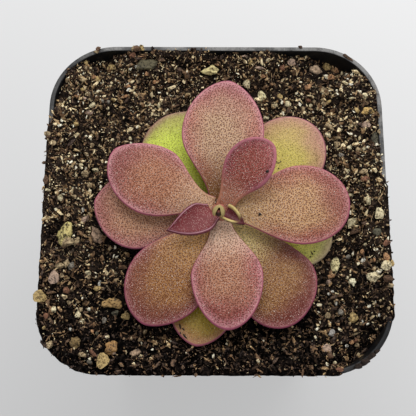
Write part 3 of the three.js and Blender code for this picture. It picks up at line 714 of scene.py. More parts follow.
top_soil = surface(peat_mesh, pot.data)
ball = bmesh.new()
bmesh.ops.create_icosphere(ball, subdivisions=3, radius=1)
ball_points = np.array([v.co for v in ball.verts])
ball_faces = np.array([[v.index for v in face.verts] for face in ball.faces])
ball.free()
random = np.random.default_rng(77)
stone_points, stone_faces, stone_tones = [], [], []
colours = list(STONE_COLOURS)
for across, down, wide, tall, colour, *tilt in STONES:
    foot = under_view(top_soil, across, down)
    if foot is None:
        continue
    reach = np.array([wide, tall, STONE_FLATNESS * min(wide, tall) + 1]) / 2 / SQUARES_PER_MM
    shape = chipped(ball_points, random) * reach * STONE_SWELL
    angle = math.radians(sum(tilt))
    across_way = np.array([math.cos(angle), math.sin(angle), 0])
    up_way = np.array([-math.sin(angle), math.cos(angle), 0])
    placed = (np.array(foot) + np.array([0, 0, STONE_RISE * reach[2] + STONE_LIFT])
              + shape[:, :1] * across_way + shape[:, 1:2] * up_way + shape[:, 2:] * np.array([0, 0, 1]))
    stone_faces += (ball_faces + len(ball_points) * len(stone_points)).tolist()
    stone_points.append(placed)
    stone_tones += [colours.index(colour) / (len(colours) - 1)] * len(placed)
    from_stone = np.hypot(ground[:, 0] - foot.x, ground[:, 1] - foot.y)
    uncovered *= np.where(from_stone < STONE_CLEARANCE * reach[:2].sum(), 0.0, 1.0)
for middle, reach in seats:
    from_grain = np.hypot(*((ground - middle) / reach)[:, :2].T)
    uncovered *= np.where(from_grain < SEAT_CLEARANCE, 0.0, 1.0)
store(peat_mesh, "open", uncovered)

stone_finish = start_finish("mixed stone chips")
where = place()
veil = cloud(where, 1.3, 5, 0.8)
pores = cells(where, 2.0 / MM)
stops = [(number / (len(colours) - 1), shade) for number, shade in enumerate(STONE_COLOURS.values())]
own = Wire.ramp(stops, attribute("tone") + (veil - 0.5) * 0.16)
speck = Wire.maths("MAXIMUM", pores.between(0.36, 0.14) * 0.75, veil.between(0.52, 0.4) * 0.8)
end_finish({"Base Color": Wire.mix(own, STONE_DIRT, speck), "Roughness": 0.7, "Specular IOR Level": 0.2,
            "Normal": relief(veil + pores.between(0.1, 0.4) * 0.5, 0.35)})
stones_mesh = points_mesh("stone_chips", np.concatenate(stone_points), stone_faces)
stones_mesh.set_sharp_from_angle(angle=STONE_EDGE)
store(stones_mesh, "tone", stone_tones)
stones = new_part("stone_chips", stones_mesh, stone_finish)
hand_in(stones, "pumice")

# ---------------------------------------------------------------- peat crumbs
# Loose crumbs and clods of peat, 0.3 to 2.6 mm across, lie thick over the whole surface and
# the rim. They are strewn over the pressed ground at random and lie at every angle.

CRUMB_SIZES = {"Per square millimetre": 2.3, "Smallest": 0.3, "Largest": 1.45, "Rarity": 1.9,
               "Lift": 0.22, "Roof": 0.75, "Back share": 0.0, "Seed": 11}
CLOD_SIZES = CRUMB_SIZES | {"Per square millimetre": 0.34, "Smallest": 0.9, "Largest": 2.6,
                            "Lift": 0.12, "Seed": 19}
CRUMB_STOPS = ((0.06, (2, 2, 2)), (0.18, (48, 40, 37)), (0.36, (90, 75, 66)), (0.56, (116, 92, 72)),
               (0.76, (150, 118, 86)), (0.88, (196, 164, 116)), (1.02, (254, 234, 188)))
CRUMB_SHADE = (3, 2, 2)
SLIM_SHARE = 0.55                # every second shape has this share of the others' thickness
ROOM_TO_LEAF = 0.6               # crumbs stay this far under a leaf
SMALLEST_CRUMB = 0.2


def lumps(count, seed, corners, form, jitter):
    """Small angular shapes about 1 across."""
    random = np.random.default_rng(seed)
    for number in range(count):
        points = random.normal(size=(corners, 3))
        points /= np.linalg.norm(points, axis=1)[:, None]
        slim = SLIM_SHARE if number % 2 else 1.0
        points *= random.uniform(1 - jitter, 1, (corners, 1)) * np.array(form) * (1, slim, slim) / 2
        work = bmesh.new()
        for point in points:
            work.verts.new(point)
        hull = bmesh.ops.convex_hull(work, input=work.verts)
        buried = dict.fromkeys(hull["geom_interior"] + hull["geom_unused"])
        buried = [g for g in buried if isinstance(g, bmesh.types.BMVert)]
        bmesh.ops.delete(work, geom=buried, context="VERTS")
        yield close_mesh(work, "lump", smooth=False)


def fill_box(name, shapes):
    """A collection of shapes for a tree to pick from."""
    box = bpy.data.collections.new(name)
    for mesh in shapes:
        box.objects.link(bpy.data.objects.new(name, mesh))
    scene.collection.children.link(box)
    return box


def clear_box(box):
    for thing in list(box.objects):
        bpy.data.objects.remove(thing)
    bpy.data.collections.remove(box)


def open_tree(name, inputs):
    """A geometry tree with these inputs, in hand from here on. Returns its inputs as wires."""
    tree = bpy.data.node_groups.new(name, "GeometryNodeTree")
    tree.interface.new_socket("Ground", in_out="INPUT", socket_type="NodeSocketGeometry")
    for label in inputs:
        kind = "NodeSocketInt" if label == "Seed" else "NodeSocketFloat"
        tree.interface.new_socket(label, in_out="INPUT", socket_type=kind)
    tree.interface.new_socket("Made", in_out="OUTPUT", socket_type="NodeSocketGeometry")
    Wire.tree = tree
    first = Wire.node("NodeGroupInput")
    return tree, {label: first.also(label) for label in ("Ground", *inputs)}


def field(name):
    return Wire.node("GeometryNodeInputNamedAttribute", {"data_type": "FLOAT"}, {"Name": name})


def chance(low, high, seed):
    return Wire.node("FunctionNodeRandomValue", {"data_type": "FLOAT"}, {2: low, 3: high, 8: seed}, 1)


def spread(low, high, seed):
    """A random vector between two."""
    return Wire.node("FunctionNodeRandomValue", {"data_type": "FLOAT_VECTOR"}, {0: low, 1: high, 8: seed})


def scaled(vector, share):
    return Wire.node("ShaderNodeVectorMath", {"operation": "SCALE"}, {"Vector": vector, "Scale": share})


def turned(points, seed, lean=None):
    """Turns at random: any way at all, or lying on the surface and leaning this far at most."""
    most = lean or math.pi
    spin = spread((-most, -most, -math.pi), (most, most, math.pi), seed + 5)
    return spin if lean is None else Wire.node("FunctionNodeRotateRotation", {
        "rotation_space": "LOCAL"}, {"Rotation": points.also("Rotation"), "Rotate By": spin})


def set_out(box, points, turns, scale, seed, finish):
    """Puts a shape with a tone of its own on each point, and makes them all one mesh."""
    pick = Wire.node("FunctionNodeRandomValue", {"data_type": "INT"}, {
        4: 0, 5: len(box.objects) - 1, 8: seed + 2}, 2)
    shapes = Wire.node("GeometryNodeCollectionInfo", None, {
        "Collection": box, "Separate Children": True, "Reset Children": True})
    placed = Wire.node("GeometryNodeInstanceOnPoints", None, {
        "Points": points, "Instance": shapes, "Pick Instance": True, "Instance Index": pick,
        "Rotation": turns, "Scale": scale})
    toned = Wire.node("GeometryNodeStoreNamedAttribute", {"data_type": "FLOAT", "domain": "INSTANCE"}, {
        "Geometry": placed, "Name": "tone", "Value": chance(0.0, 1.0, seed + 3)})
    solid = Wire.node("GeometryNodeRealizeInstances", None, {"Geometry": toned})
    painted = Wire.node("GeometryNodeSetMaterial", None, {"Geometry": solid, "Material": finish})
    Wire.node("NodeGroupOutput", None, {"Made": painted})


def strewing_tree(name, box, finish, lean):
    """Strews the shapes of a box over the ground: many small ones and few large ones."""
    tree, given = open_tree(name, CRUMB_SIZES)
    seed, smallest = given["Seed"], given["Smallest"]
    share = 1 - given["Back share"] * (1 - field("back"))
    density = given["Per square millimetre"] / (MM * MM) * field("open") * share
    points = Wire.node("GeometryNodeDistributePointsOnFaces", {"distribute_method": "RANDOM"}, {
        "Mesh": given["Ground"], "Density": density, "Seed": seed})
    size = smallest + (given["Largest"] - smallest) * chance(0.0, 1.0, seed) ** given["Rarity"]
    size = Wire.maths("MINIMUM", size, (field("headroom") - ROOM_TO_LEAF) * given["Roof"])
    size = Wire.maths("MAXIMUM", size, SMALLEST_CRUMB) * MM
    raised = Wire.node("GeometryNodeSetPosition", None, {
        "Geometry": points, "Offset": scaled(points.also("Normal"), size * given["Lift"])})
    stretch = spread((0.7, 0.7, 0.7), (1.25, 1.25, 1.25), seed + 9)
    set_out(box, raised, turned(points, seed, lean), scaled(stretch, size), seed, finish)
    return tree


def grow(name, carrier, tree, sizes):
    """Runs a tree on a carrier and keeps what it makes as a plain piece of its own."""
    modifier = carrier.modifiers.new(name, "NODES")
    modifier.node_group = tree
    for item in tree.interface.items_tree:
        if item.in_out == "INPUT" and item.name in sizes:
            modifier[item.identifier] = sizes[item.name]
    graph = bpy.context.evaluated_depsgraph_get()
    graph.update()
    mesh = bpy.data.meshes.new_from_object(
        carrier.evaluated_get(graph), preserve_all_data_layers=True, depsgraph=graph)
    carrier.modifiers.remove(modifier)
    return new_part(name, mesh, None)


def strewn_finish(name, stops, patch_per_mm, shaded, depth):
    """Each grain has its own tone, with finer patches, and is painted darker towards the front and in
    hollows, as shade.
    """
    finish = start_finish(name)
    where = place()
    patches, clumps = cloud(where, patch_per_mm, 4, 0.7), cloud(where, 0.28, 3, 0.6)
    tone = attribute("tone") * 0.85 + (patches - 0.5) * 1.2 + (clumps - 0.5) * 1.2 + 0.27
    # Painted shade: the grains darken where 'back' is low, towards the front and in hollows.
    tone = tone - (1 - attribute("back")) * shaded
    # Painted shade: patches that lie over the grains are painted almost black.
    shade = Wire.mix(Wire.ramp(stops, tone), CRUMB_SHADE, patches.between(0.48, 0.34) * 0.75)
    end_finish({"Base Color": shade, "Roughness": 0.6, "Specular IOR Level": 0.03,
                "Normal": relief(patches, depth)})
    return finish


def strew(name, slot, shapes, sizes, finish, lean=None):
    """Covers the peat with these shapes as one piece."""
    box = fill_box(name + "_shapes", shapes)
    piece = grow(name, peat, strewing_tree("strew " + name, box, finish, lean), sizes)
    clear_box(box)
    hand_in(piece, slot)


crumb_finish = strewn_finish("peat crumb", CRUMB_STOPS, patch_per_mm=2.2, shaded=0.365, depth=0.15)
strew("peat_crumbs", "peat", lumps(10, seed=21, corners=9, form=(1.15, 0.7, 0.55), jitter=0.5),
      CRUMB_SIZES, crumb_finish)
strew("peat_clods", "peat", lumps(8, seed=25, corners=18, form=(1.1, 0.7, 0.5), jitter=0.6),
      CLOD_SIZES, crumb_finish)

# ---------------------------------------------------------------- grit
# Coarse sand and crushed pumice mixed through the peat: tan, cream, grey and rust-coloured
# grains, 0.2 to 1.8 mm across. Rain has washed more of it clear at the back of the pot.

GRIT_SIZES = CRUMB_SIZES | {"Per square millimetre": 1.0, "Smallest": 0.24, "Largest": 1.8,
                            "Rarity": 4.0, "Lift": 0.34, "Back share": 0.6, "Seed": 40}
GRIT_STOPS = ((0.0, (60, 52, 46)), (0.25, (100, 86, 72)), (0.42, (146, 120, 92)), (0.5, (128, 84, 56)),
              (0.58, (164, 136, 100)), (0.74, (196, 174, 138)), (0.88, (226, 204, 156)),
              (1.0, (255, 248, 222)))
grit_finish = strewn_finish("sand and pumice grit", GRIT_STOPS, patch_per_mm=3.0, shaded=0.145, depth=0.1)
strew("loose_grit", "pumice", lumps(8, seed=33, corners=10, form=(1.0, 0.75, 0.6), jitter=0.4),
      GRIT_SIZES, grit_finish)

# ---------------------------------------------------------------- bark and fibre
# Flat splinters of bark and short brown fibres that the peat is full of. They lie along the
# surface, and a few stand up from it or reach over the rim.

FLAKE_SIZES = CRUMB_SIZES | {"Per square millimetre": 0.42, "Smallest": 0.6, "Largest": 2.6,
                             "Rarity": 2.0, "Lift": 0.12, "Seed": 71}
FLAKE_STOPS = ((0.0, (20, 17, 15)), (0.35, (54, 43, 35)), (0.6, (94, 72, 56)), (0.8, (134, 104, 76)),
               (1.0, (180, 152, 114)))
FIBRE_SIZES = CRUMB_SIZES | {"Per square millimetre": 0.28, "Smallest": 0.8, "Largest": 3.0,
                             "Rarity": 1.6, "Lift": 0.06, "Seed": 90}
FIBRE_STOPS = ((0.0, (12, 10, 9)), (0.5, (54, 42, 34)), (0.8, (100, 80, 60)), (1.0, (176, 150, 114)))
FIBRE_THICK, FIBRE_TIP, FIBRE_JOINTS = 0.028, 0.006, 5
FIBRE_BEND, FIBRE_WAVE, FIBRE_RISE = 0.9, 0.3, 0.12
FLAT_LEAN = 0.5                  # how far flakes and fibres lean out of the surface


def fibre_strands(count, seed):
    """Bent strands about 1 long, three-sided, that thin out to their tips."""
    random = np.random.default_rng(seed)
    for _ in range(count):
        bend = random.uniform(-FIBRE_BEND, FIBRE_BEND)
        wave = random.uniform(-FIBRE_WAVE, FIBRE_WAVE)
        work, loops = bmesh.new(), []
        for k in range(FIBRE_JOINTS + 1):
            t = k / FIBRE_JOINTS - 0.5
            rise = FIBRE_RISE * math.sin(5 * t + wave * 9)
            middle = Vector((t, bend * (t * t - 0.1) + wave * t ** 3, rise))
            thick = FIBRE_THICK * (1 - (2 * abs(t)) ** 3) + FIBRE_TIP
            loops.append([work.verts.new(middle + thick * Vector((0, math.cos(a), math.sin(a))))
                          for a in (0.5, 2.6, 4.7)])
        for lower, upper in zip(loops, loops[1:]):
            skin(work, lower, upper)
        work.faces.new(loops[0])
        work.faces.new(loops[-1])
        yield close_mesh(work, "strand", smooth=False)


flake_finish = strewn_finish("bark splinters", FLAKE_STOPS, patch_per_mm=2.0, shaded=0.345, depth=0.15)
strew("bark_splinters", "bark", lumps(8, seed=51, corners=12, form=(1.1, 0.45, 0.16), jitter=0.4),
      FLAKE_SIZES, flake_finish, FLAT_LEAN)
fibre_finish = strewn_finish("peat fibre", FIBRE_STOPS, patch_per_mm=1.5, shaded=0.285, depth=0.05)
strew("peat_fibres", "peat", fibre_strands(7, seed=61), FIBRE_SIZES, fibre_finish, FLAT_LEAN)

# ---------------------------------------------------------------- the large grains
# Pumice and perlite, crushed volcanic glass full of bubbles, and one flake of old bark. Each
# lies half sunk in the peat, where it was left when the pot was filled.

GRAINS = {                       # colours of the grain and of its pits, and how deep it is pitted
    "pumice_back": ((224, 208, 148), (130, 108, 70), 0.5),
    "pumice_back_right": ((228, 216, 168), (140, 122, 84), 0.5),
    "pumice_far_right": ((196, 168, 138), (110, 88, 66), 0.4),
    "bark_back_left": ((92, 84, 58), (26, 22, 16), 0.45),
    "pumice_right": ((206, 170, 104), (104, 74, 42), 0.5),
    "pumice_left": ((202, 186, 120), (86, 66, 34), 0.9),
    "pumice_near_left_leaf": ((178, 148, 122), (96, 70, 50), 0.5),
    "pumice_front_left": ((182, 146, 92), (80, 56, 32), 0.7),
    "pumice_front_corner": ((164, 124, 74), (84, 58, 34), 0.7),
    "pumice_front": ((172, 144, 116), (84, 64, 48), 0.7),
    "pumice_corner_left": ((128, 104, 62), (60, 46, 28), 0.5),
    "pumice_right_leaf": ((238, 224, 168), (120, 102, 60), 0.7),
    "perlite_right": ((250, 242, 206), (170, 148, 104), 0.3),
    "perlite_front_right": ((172, 166, 158), (112, 104, 96), 0.2)}
GRAIN_DIRT = (34, 27, 21)
PIT_SIZE, PIT_DEPTH, PIT_EDGE = 0.75, 1.1, 0.05
WEAR_SIZE, GRAIN_WEAR = 1.1, 0.45
GRAIN_CUTS, GRAIN_SPREAD = 10, (0.7, 1.08)   # flat faces, and how near and far the surface may lie
FLAKE_SIZE, FLAKE_SKEW = 0.94, 0.3
FORM_SHARE, FLAKE_FORM_SHARE = 0.75, 0.1   # how closely a grain follows its CAD form


def grain_mesh(node, pitted, seed):
    """A ball of fine faces shrunk onto the CAD grain's form and pitted all over."""
    work = bmesh.new()
    bmesh.ops.create_icosphere(work, subdivisions=4, radius=1)
    random = np.random.default_rng(int(seed * 10) + 7)
    rough = chipped(np.array([v.co for v in work.verts]), random, GRAIN_CUTS)
    shares = np.clip(np.linalg.norm(rough, axis=1), *GRAIN_SPREAD)
    form = surface(frame["nodes"][node].data)
    low, high = (Vector(c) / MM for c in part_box(node))
    middle, reach = (low + high) / 2, (high - low) / 2
    is_flake = node.startswith("bark")
    blend = FLAKE_FORM_SHARE if is_flake else FORM_SHARE
    for vertex, share in zip(work.verts, shares):
        way = vertex.co.copy()
        if is_flake:
            way, share = Vector([math.copysign(abs(c) ** 0.5, c) for c in way]) * FLAKE_SIZE, 1.0
            way.x += FLAKE_SKEW * way.y
        out = Vector([way[k] * reach[k] for k in range(3)])
        hit = form.ray_cast(middle + out * 3, -out.normalized())[0]
        skin_at = (hit if hit is not None else middle + out) * blend + (middle + out) * (1 - blend)
        skin_at = middle + (skin_at - middle) * share
        worn = noise.noise(skin_at / WEAR_SIZE + Vector((seed, 0, 0)))
        wear = GRAIN_WEAR * min(1.0, 2 * pitted) * worn
        pit = max(0.0, noise.noise(skin_at / PIT_SIZE + Vector((0, seed, 0))) - PIT_EDGE)
        depth = wear - pitted * PIT_DEPTH * pit
        vertex.co = (skin_at + (skin_at - middle).normalized() * depth) * MM
    return close_mesh(work, "grain_" + node)


for number, (node, (own, pit_colour, pitted)) in enumerate(GRAINS.items()):
    grain_finish = start_finish(node + " stone")
    where = place()
    pores = cells(where, 1.9 / MM)
    grime = cloud(where, 1.2, 5, 0.8)
    dark = pores.between(0.4, 0.1) * 1.3 * pitted + grime.between(0.5, 0.66) * 0.8
    stone = Wire.mix(own, pit_colour, Wire.maths("MINIMUM", dark, 1.0))
    stone = Wire.mix(stone, GRAIN_DIRT, cloud(where, 0.9, 5, 0.7).between(0.54, 0.62) * 0.8)
    end_finish({"Base Color": stone, "Roughness": 0.75,
                "Normal": relief(pores.between(0.1, 0.5) - 0.5 * grime, 0.25 * pitted + 0.05)})
    grain = new_part("grain_" + node, grain_mesh(node, pitted, number * 3.3), grain_finish)
    hand_in(grain, node.split("_")[0], node)

# ---------------------------------------------------------------- the stem
# The plant's short stem stands in the peat with a few pale roots below it. It is living
# tissue, pale pink and green, and shows only as the small hub that the leaf bases clasp.

CROWN = (0.9, -3.4)              # where the stem stands
STEM_LOW, STEM_HIGH, STEM_DARK = (150, 122, 84), (186, 118, 104), (120, 92, 66)
STEM_ROUNDS, STEM_SMOOTHING = 3, 0.4
STEM_ROUGHNESS, STEM_GRAIN = 0.12, 0.8


def make_stem():
    """The CAD stem and roots, merged, refined and rounded off."""
    work = bmesh.new()
    work.from_mesh(frame["nodes"]["crown"].data)
    bmesh.ops.remove_doubles(work, verts=work.verts, dist=1e-6)
    bmesh.ops.subdivide_edges(work, edges=work.edges, cuts=1, use_grid_fill=True)
    for _ in range(STEM_ROUNDS):
        bmesh.ops.smooth_vert(work, verts=work.verts, factor=STEM_SMOOTHING, use_axis_x=True,
                              use_axis_y=True, use_axis_z=True)
    for vertex in work.verts:
        vertex.co += vertex.normal * MM * STEM_ROUGHNESS * noise.noise(vertex.co / MM / STEM_GRAIN)
    return close_mesh(work, "stem")


stem_finish = start_finish("stem tissue")
stem_mottle = cloud(place(), 1.1, 4, 0.6)
stem_colour = Wire.mix(STEM_LOW, STEM_HIGH, coordinate("Z").between(70.0, 74.0))
end_finish({"Base Color": Wire.mix(stem_colour, STEM_DARK, stem_mottle.between(0.4, 0.7) * 0.5),
            "Roughness": 0.5, "Normal": relief(stem_mottle, 0.15)})
stem = new_part("stem_and_roots", make_stem(), stem_finish)
hand_in(stem, "stem", "crown")

# ---------------------------------------------------------------- the leaves
# Thick fleshy blades in a flat spiral round the stem. Each is full in the middle, rolls down
# to a smooth swollen margin, and flushes pink and mauve where the light reaches it.

LEAF_SHAPES = {   # heading, length, width, height, rise, fall, curl, bend, widest, base, start, tip, taper
    "lowest_back_left": (116, 25, 20.5, 68.7, -3, -3, -.1, 0, .6, 3.2, 2.9, .5, 1.25),
    "lowest_back_right": (43, 28, 18, 68.7, -3, 5, -.15, -15, .65, 2.8, 2.9, .5, 1.25),
    "lowest_right": (-12, 22.5, 15, 68.7, -3, -3, -.1, 0, .6, 2.5, 2.9, .5, 1.25),
    "lowest_front": (-100, 26, 15, 68.7, -1, 1, -.1, 5, .6, 3.2, 2.9, .6, 1.25),
    "low_left": (173, 25, 18.5, 70.2, 4, -4, -.15, -10, .6, 3.4, 2.9, .65, 2),
    "low_front_right": (-47, 25.5, 18, 70.2, 4, -4, -.2, 30, .7, 4.8, 2.9, .45, .75),
    "low_front_left": (-123, 26.5, 17.5, 71.5, 8, -8, -.2, 25, .6, 3.8, 2.9, .6, 1.75),
    "upper_front": (-87, 23.5, 15.5, 73.1, 14, -8, -.3, -15, .5, 5, 2.7, .55, 2),
    "upper_back": (86, 28, 18.5, 72.35, 14, -4, -.25, -10, .55, 5, 2.7, .6, 2),
    "upper_right": (5, 25.5, 18, 73.75, 14, -8, -.25, 5, .6, 5, 2.7, .45, 1.5),
    "upper_left": (149, 24.5, 16, 73.65, 14, -8, -.25, -35, .55, 4.4, 3, .6, 1.75),
    "young_back_right": (47, 16.5, 11, 74.7, 35, 15, .5, -35, .6, 4.2, 2.1, .6, 2),
    "young_left": (-156, 11, 7.5, 74.8, 25, -10, .7, -30, .3, 4.8, 1.9, 1.25, 1.5),
    "bud_right": (-37, 5.1, 4.7, 75.5, 22, 6, 1.35, 0, .12, 4.5, 1.6, 1.1, 1),
    "bud_centre": (80, 2.1, 5.2, 77.9, 86, 95, 2.4, 0, .45, 4.8, -.8, .3, 1)}
BLOOM = (214, 150, 158)           # the pale waxy pink inside the margin
LEAF_COLOURS = {  # heart, flush, rim, base, tip, and how far in (mm) the flush reaches
    "lowest_back_left": ((214, 230, 82), (132, 112, 72), (136, 92, 92), (152, 158, 44),
        (150, 130, 84), 2.4),
    "lowest_back_right": ((203, 186, 90), (180, 134, 104), (152, 92, 106),
        (204, 214, 90), (190, 140, 120), 6.0),
    "lowest_right": ((255, 255, 122), (226, 216, 142), (170, 150, 120), (196, 200, 90),
        (172, 160, 110), 2.0),
    "lowest_front": ((178, 155, 46), (168, 126, 52), (158, 84, 108), (150, 126, 50), (150, 110, 66), 3.0),
    "low_left": ((201, 150, 115), (175, 112, 102), (160, 84, 108), (172, 130, 84), (160, 98, 88), 5.0),
    # The pale bases of the low_front leaves and lowest_right's bright colours are painted light that makes
    # up for the shade of the leaves above them.
    "low_front_right": ((159, 115, 69), (126, 64, 58), (148, 68, 94), (250, 226, 150), (110, 49, 40), 6.0),
    "low_front_left": ((156, 108, 60), (124, 64, 56), (148, 68, 94), (238, 182, 114), (112, 54, 46), 6.0),
    "upper_front": ((176, 122, 92), (166, 94, 92), (152, 70, 96), (234, 196, 166), (128, 54, 48), 5.5),
    "upper_back": ((199, 161, 127), (193, 125, 110), (152, 74, 98), (126, 86, 40), (154, 92, 94), 6.5),
    "upper_right": ((196, 151, 107), (168, 100, 82), (158, 76, 100), (200, 162, 114), (144, 80, 74), 6.0),
    "upper_left": ((175, 117, 86), (164, 100, 90), (156, 74, 98), (198, 156, 120), (140, 78, 74), 6.0),
    "young_back_right": ((155, 80, 70), (148, 76, 82), (170, 104, 118), (184, 124, 98),
        (176, 99, 100), 3.0),
    # young_left's pale rim colour is a painted highlight on the crest of its rolled margin.
    "young_left": ((112, 40, 44), (106, 34, 44), (200, 150, 160), (130, 60, 62), (100, 32, 42), 1.6),
    "bud_right": ((80, 24, 32), (76, 24, 32), (208, 186, 120), (92, 34, 40), (92, 34, 42), 0.6),
    "bud_centre": ((78, 34, 28), (96, 40, 34), (224, 202, 130), (44, 24, 20), (110, 50, 40), 0.8)}
# The last of these is the pale colour of the glints painted on the glue drops.
STAINS, DOTS, GLUE_GLINT = (60, 34, 26), (86, 27, 6), (250, 228, 214)
# The buds' dark brown outer face is painted shadow around the furled bud.
UNDERSIDE, BUD_SHADOW_UNDERSIDE, YOUNG_SHADED_UNDERSIDE = (190, 170, 120), (62, 34, 30), (92, 36, 44)
# young_left's dark underside and the two dark lines are painted shade on its rolled margin.
YOUNG_INNER_SHADE, YOUNG_OUTER_SHADE = (84, 28, 36), (96, 36, 48)   # dark lines beside young_left's pale edge
FROSTED = {"lowest": 0.15, "low": 0.25, "upper": 0.56, "upper_right": 0.35}
DOTTED = {"lowest": 0.4, "young": 0.9, "young_left": 0.15, "bud": 0.1}
GLINT_SHARES = {"lowest": 0.4, "young": 1.2, "young_left": 0.7, "bud": 0.2}
UV_SIZE = 100                    # millimetres of blade to one of the UV map
DOTS_PER_MM, GLINTS_PER_MM = 2.25, 2.6
LEAF_EDGE, LEAF_MIDDLE = 0.7, 1.25
BUD_EDGE, BUD_MIDDLE = 0.5, 0.6
NECK_THICKNESS, NECK_GROWTH = 0.35, 2.5   # how thin the neck is, and how fast it fills out
NECK_ROWS, TIP_ROWS, ACROSS = 20, 22, 34
SPINE_STEPS = 60
REACH_IN = 1.3                   # the fine blade runs on into the stem by this much
LIP_HEIGHT, LIP_INSET, LIP_WIDTH = 0.07, 0.4, 0.25   # the swollen roll along the margin
LEAF_WAVES = ((9.0, 0.30), (4.0, 0.08))


def blade(name, s, u, face):
    """Points of a leaf's upper (1) or lower (-1) face, in rows of s out from the stem."""
    heading, length, width, z, rise, fall, curl, bend, widest, base, start, tip, taper = LEAF_SHAPES[name]
    edge, middle = (BUD_EDGE, BUD_MIDDLE) if name.startswith("bud") else (LEAF_EDGE, LEAF_MIDDLE)

    def way(t):
        pitch = np.radians(rise + (fall - rise) * t)
        turn = np.radians(heading + bend * (t - 0.5))
        flat = np.cos(pitch)
        return np.stack([flat * np.cos(turn), flat * np.sin(turn), np.sin(pitch)], -1), turn

    out = math.radians(heading)
    root = np.array([CROWN[0] + start * math.cos(out), CROWN[1] + start * math.sin(out), z])
    steps = way((np.arange(SPINE_STEPS) + 0.5) / SPINE_STEPS)[0]
    spine = np.vstack([root, root + np.cumsum(steps, 0) * length / SPINE_STEPS])
    places = np.linspace(0, 1, SPINE_STEPS + 1)
    middle_line = np.stack([np.interp(s, places, spine[:, k]) for k in range(3)], -1)
    middle_line += np.minimum(s, 0)[:, None] * length * way(np.zeros(1))[0]
    along, turn = way(np.clip(s, 0, 1))
    side_way = np.stack([-np.sin(turn), np.cos(turn), 0 * turn], -1)
    up = np.cross(along, side_way)

    x = np.clip((s - widest) / (1 - widest), 0, 1)
    swell = np.sin(math.pi / 2 * np.clip(s / widest, 0, 1)) ** taper
    neck = base / width
    ends = np.maximum(0, 1 - x * x) ** tip
    half_width = width / 2 * np.where(s >= widest, ends, neck + (1 - neck) * swell)
    outward = (x * x)[:, None] + u[None, :] ** 2 * (1 - x * x)[:, None]
    grown = NECK_THICKNESS + (1 - NECK_THICKNESS) * np.clip(NECK_GROWTH * s, 0, 1)[:, None]
    thick = edge + (middle - edge) * (1 - outward) * grown
    reach = np.where(s >= widest, width / 2, half_width)[:, None]
    margin = (1 - np.sqrt(np.clip(outward, 0, 1))) * reach
    rounding = edge * 0.5
    thick = thick * np.sqrt(1 - (1 - np.clip(margin / rounding, 0, 1)) ** 2)
    lip = LIP_HEIGHT * np.exp(-((margin - LIP_INSET) / LIP_WIDTH) ** 2) if face > 0 else 0
    bow = (half_width / curl)[:, None]
    angle = (u * curl)[None, :]
    lift = face * thick / 2 + lip
    sideways = bow * np.sin(angle) - lift * np.sin(angle)
    upwards = bow * (1 - np.cos(angle)) + lift * np.cos(angle)
    points = (middle_line[:, None, :] + side_way[:, None, :] * sideways[..., None]
              + up[:, None, :] * upwards[..., None])
    flat = np.stack([u[None, :] * half_width[:, None], s[:, None] * length + 0 * u[None, :]], -1)
    return points, margin, flat


def leaf_mesh(name):
    """Both faces of a blade, joined along the margin and closed at the base."""
    widest, length = LEAF_SHAPES[name][8], LEAF_SHAPES[name][1]
    neck = np.linspace(0, widest, NECK_ROWS + 1)[:-1]
    if not name.startswith(("bud", "young_left")):
        neck = np.concatenate([[-REACH_IN / length, -REACH_IN / length / 2], neck])
    tip = widest + (1 - widest) * np.sin(math.pi / 2 * np.arange(TIP_ROWS) / TIP_ROWS)
    s = np.concatenate([neck, tip])
    u = np.sin(math.pi / 2 * np.linspace(-1, 1, ACROSS + 1))
    top, margin, flat = blade(name, s, u, 1)
    under, margin_under, flat_under = blade(name, s, u[1:-1], -1)
    end, _, end_flat = blade(name, np.array([1.0]), np.array([0.0]), 1)
    rows, wide, low_wide = len(s), len(u), len(u) - 2
    points = np.concatenate([top.reshape(-1, 3), under.reshape(-1, 3), end.reshape(-1, 3)])
    margins = np.concatenate([margin.ravel(), margin_under.ravel(), [0]])
    flats = np.concatenate([flat.reshape(-1, 2), flat_under.reshape(-1, 2), end_flat.reshape(-1, 2)])
    face = np.concatenate([np.ones(rows * wide), np.zeros(rows * low_wide), [0.5]])
    along = np.concatenate([np.repeat(s, wide), np.repeat(s, low_wide), [1]])
    tip_at, loops = len(points) - 1, []
    for i in range(rows):
        upper = list(range(i * wide, (i + 1) * wide))
        lower = range(rows * wide + i * low_wide, rows * wide + (i + 1) * low_wide)
        loops.append(upper + list(lower)[::-1])
    faces = []
    for inner, outer in zip(loops, loops[1:]):
        faces += zip(inner, inner[1:] + inner[:1], outer[1:] + outer[:1], outer)
    faces += [(a, b, tip_at) for a, b in zip(outer, outer[1:] + outer[:1])]
    faces.append(tuple(loops[0]))
    if not name.startswith("bud"):
        points[:, 2] += crumble(points[:, 0], points[:, 1], LEAF_WAVES, 5.5)
    mesh = points_mesh("blade_" + name, points, faces)
    store(mesh, "margin", margins)
    store(mesh, "along", along)
    store(mesh, "face", face)
    layer = mesh.uv_layers.new(name="blade")
    corner_points = np.zeros(len(mesh.loops), np.int32)
    mesh.loops.foreach_get("vertex_index", corner_points)
    layer.data.foreach_set("uv", (flats[corner_points] / UV_SIZE).astype(np.float32).ravel())
    return mesh


def by_kind(name, shares, usual):
    """The share for this very leaf, or for its kind."""
    return shares.get(name, shares.get(name.split("_")[0], usual))


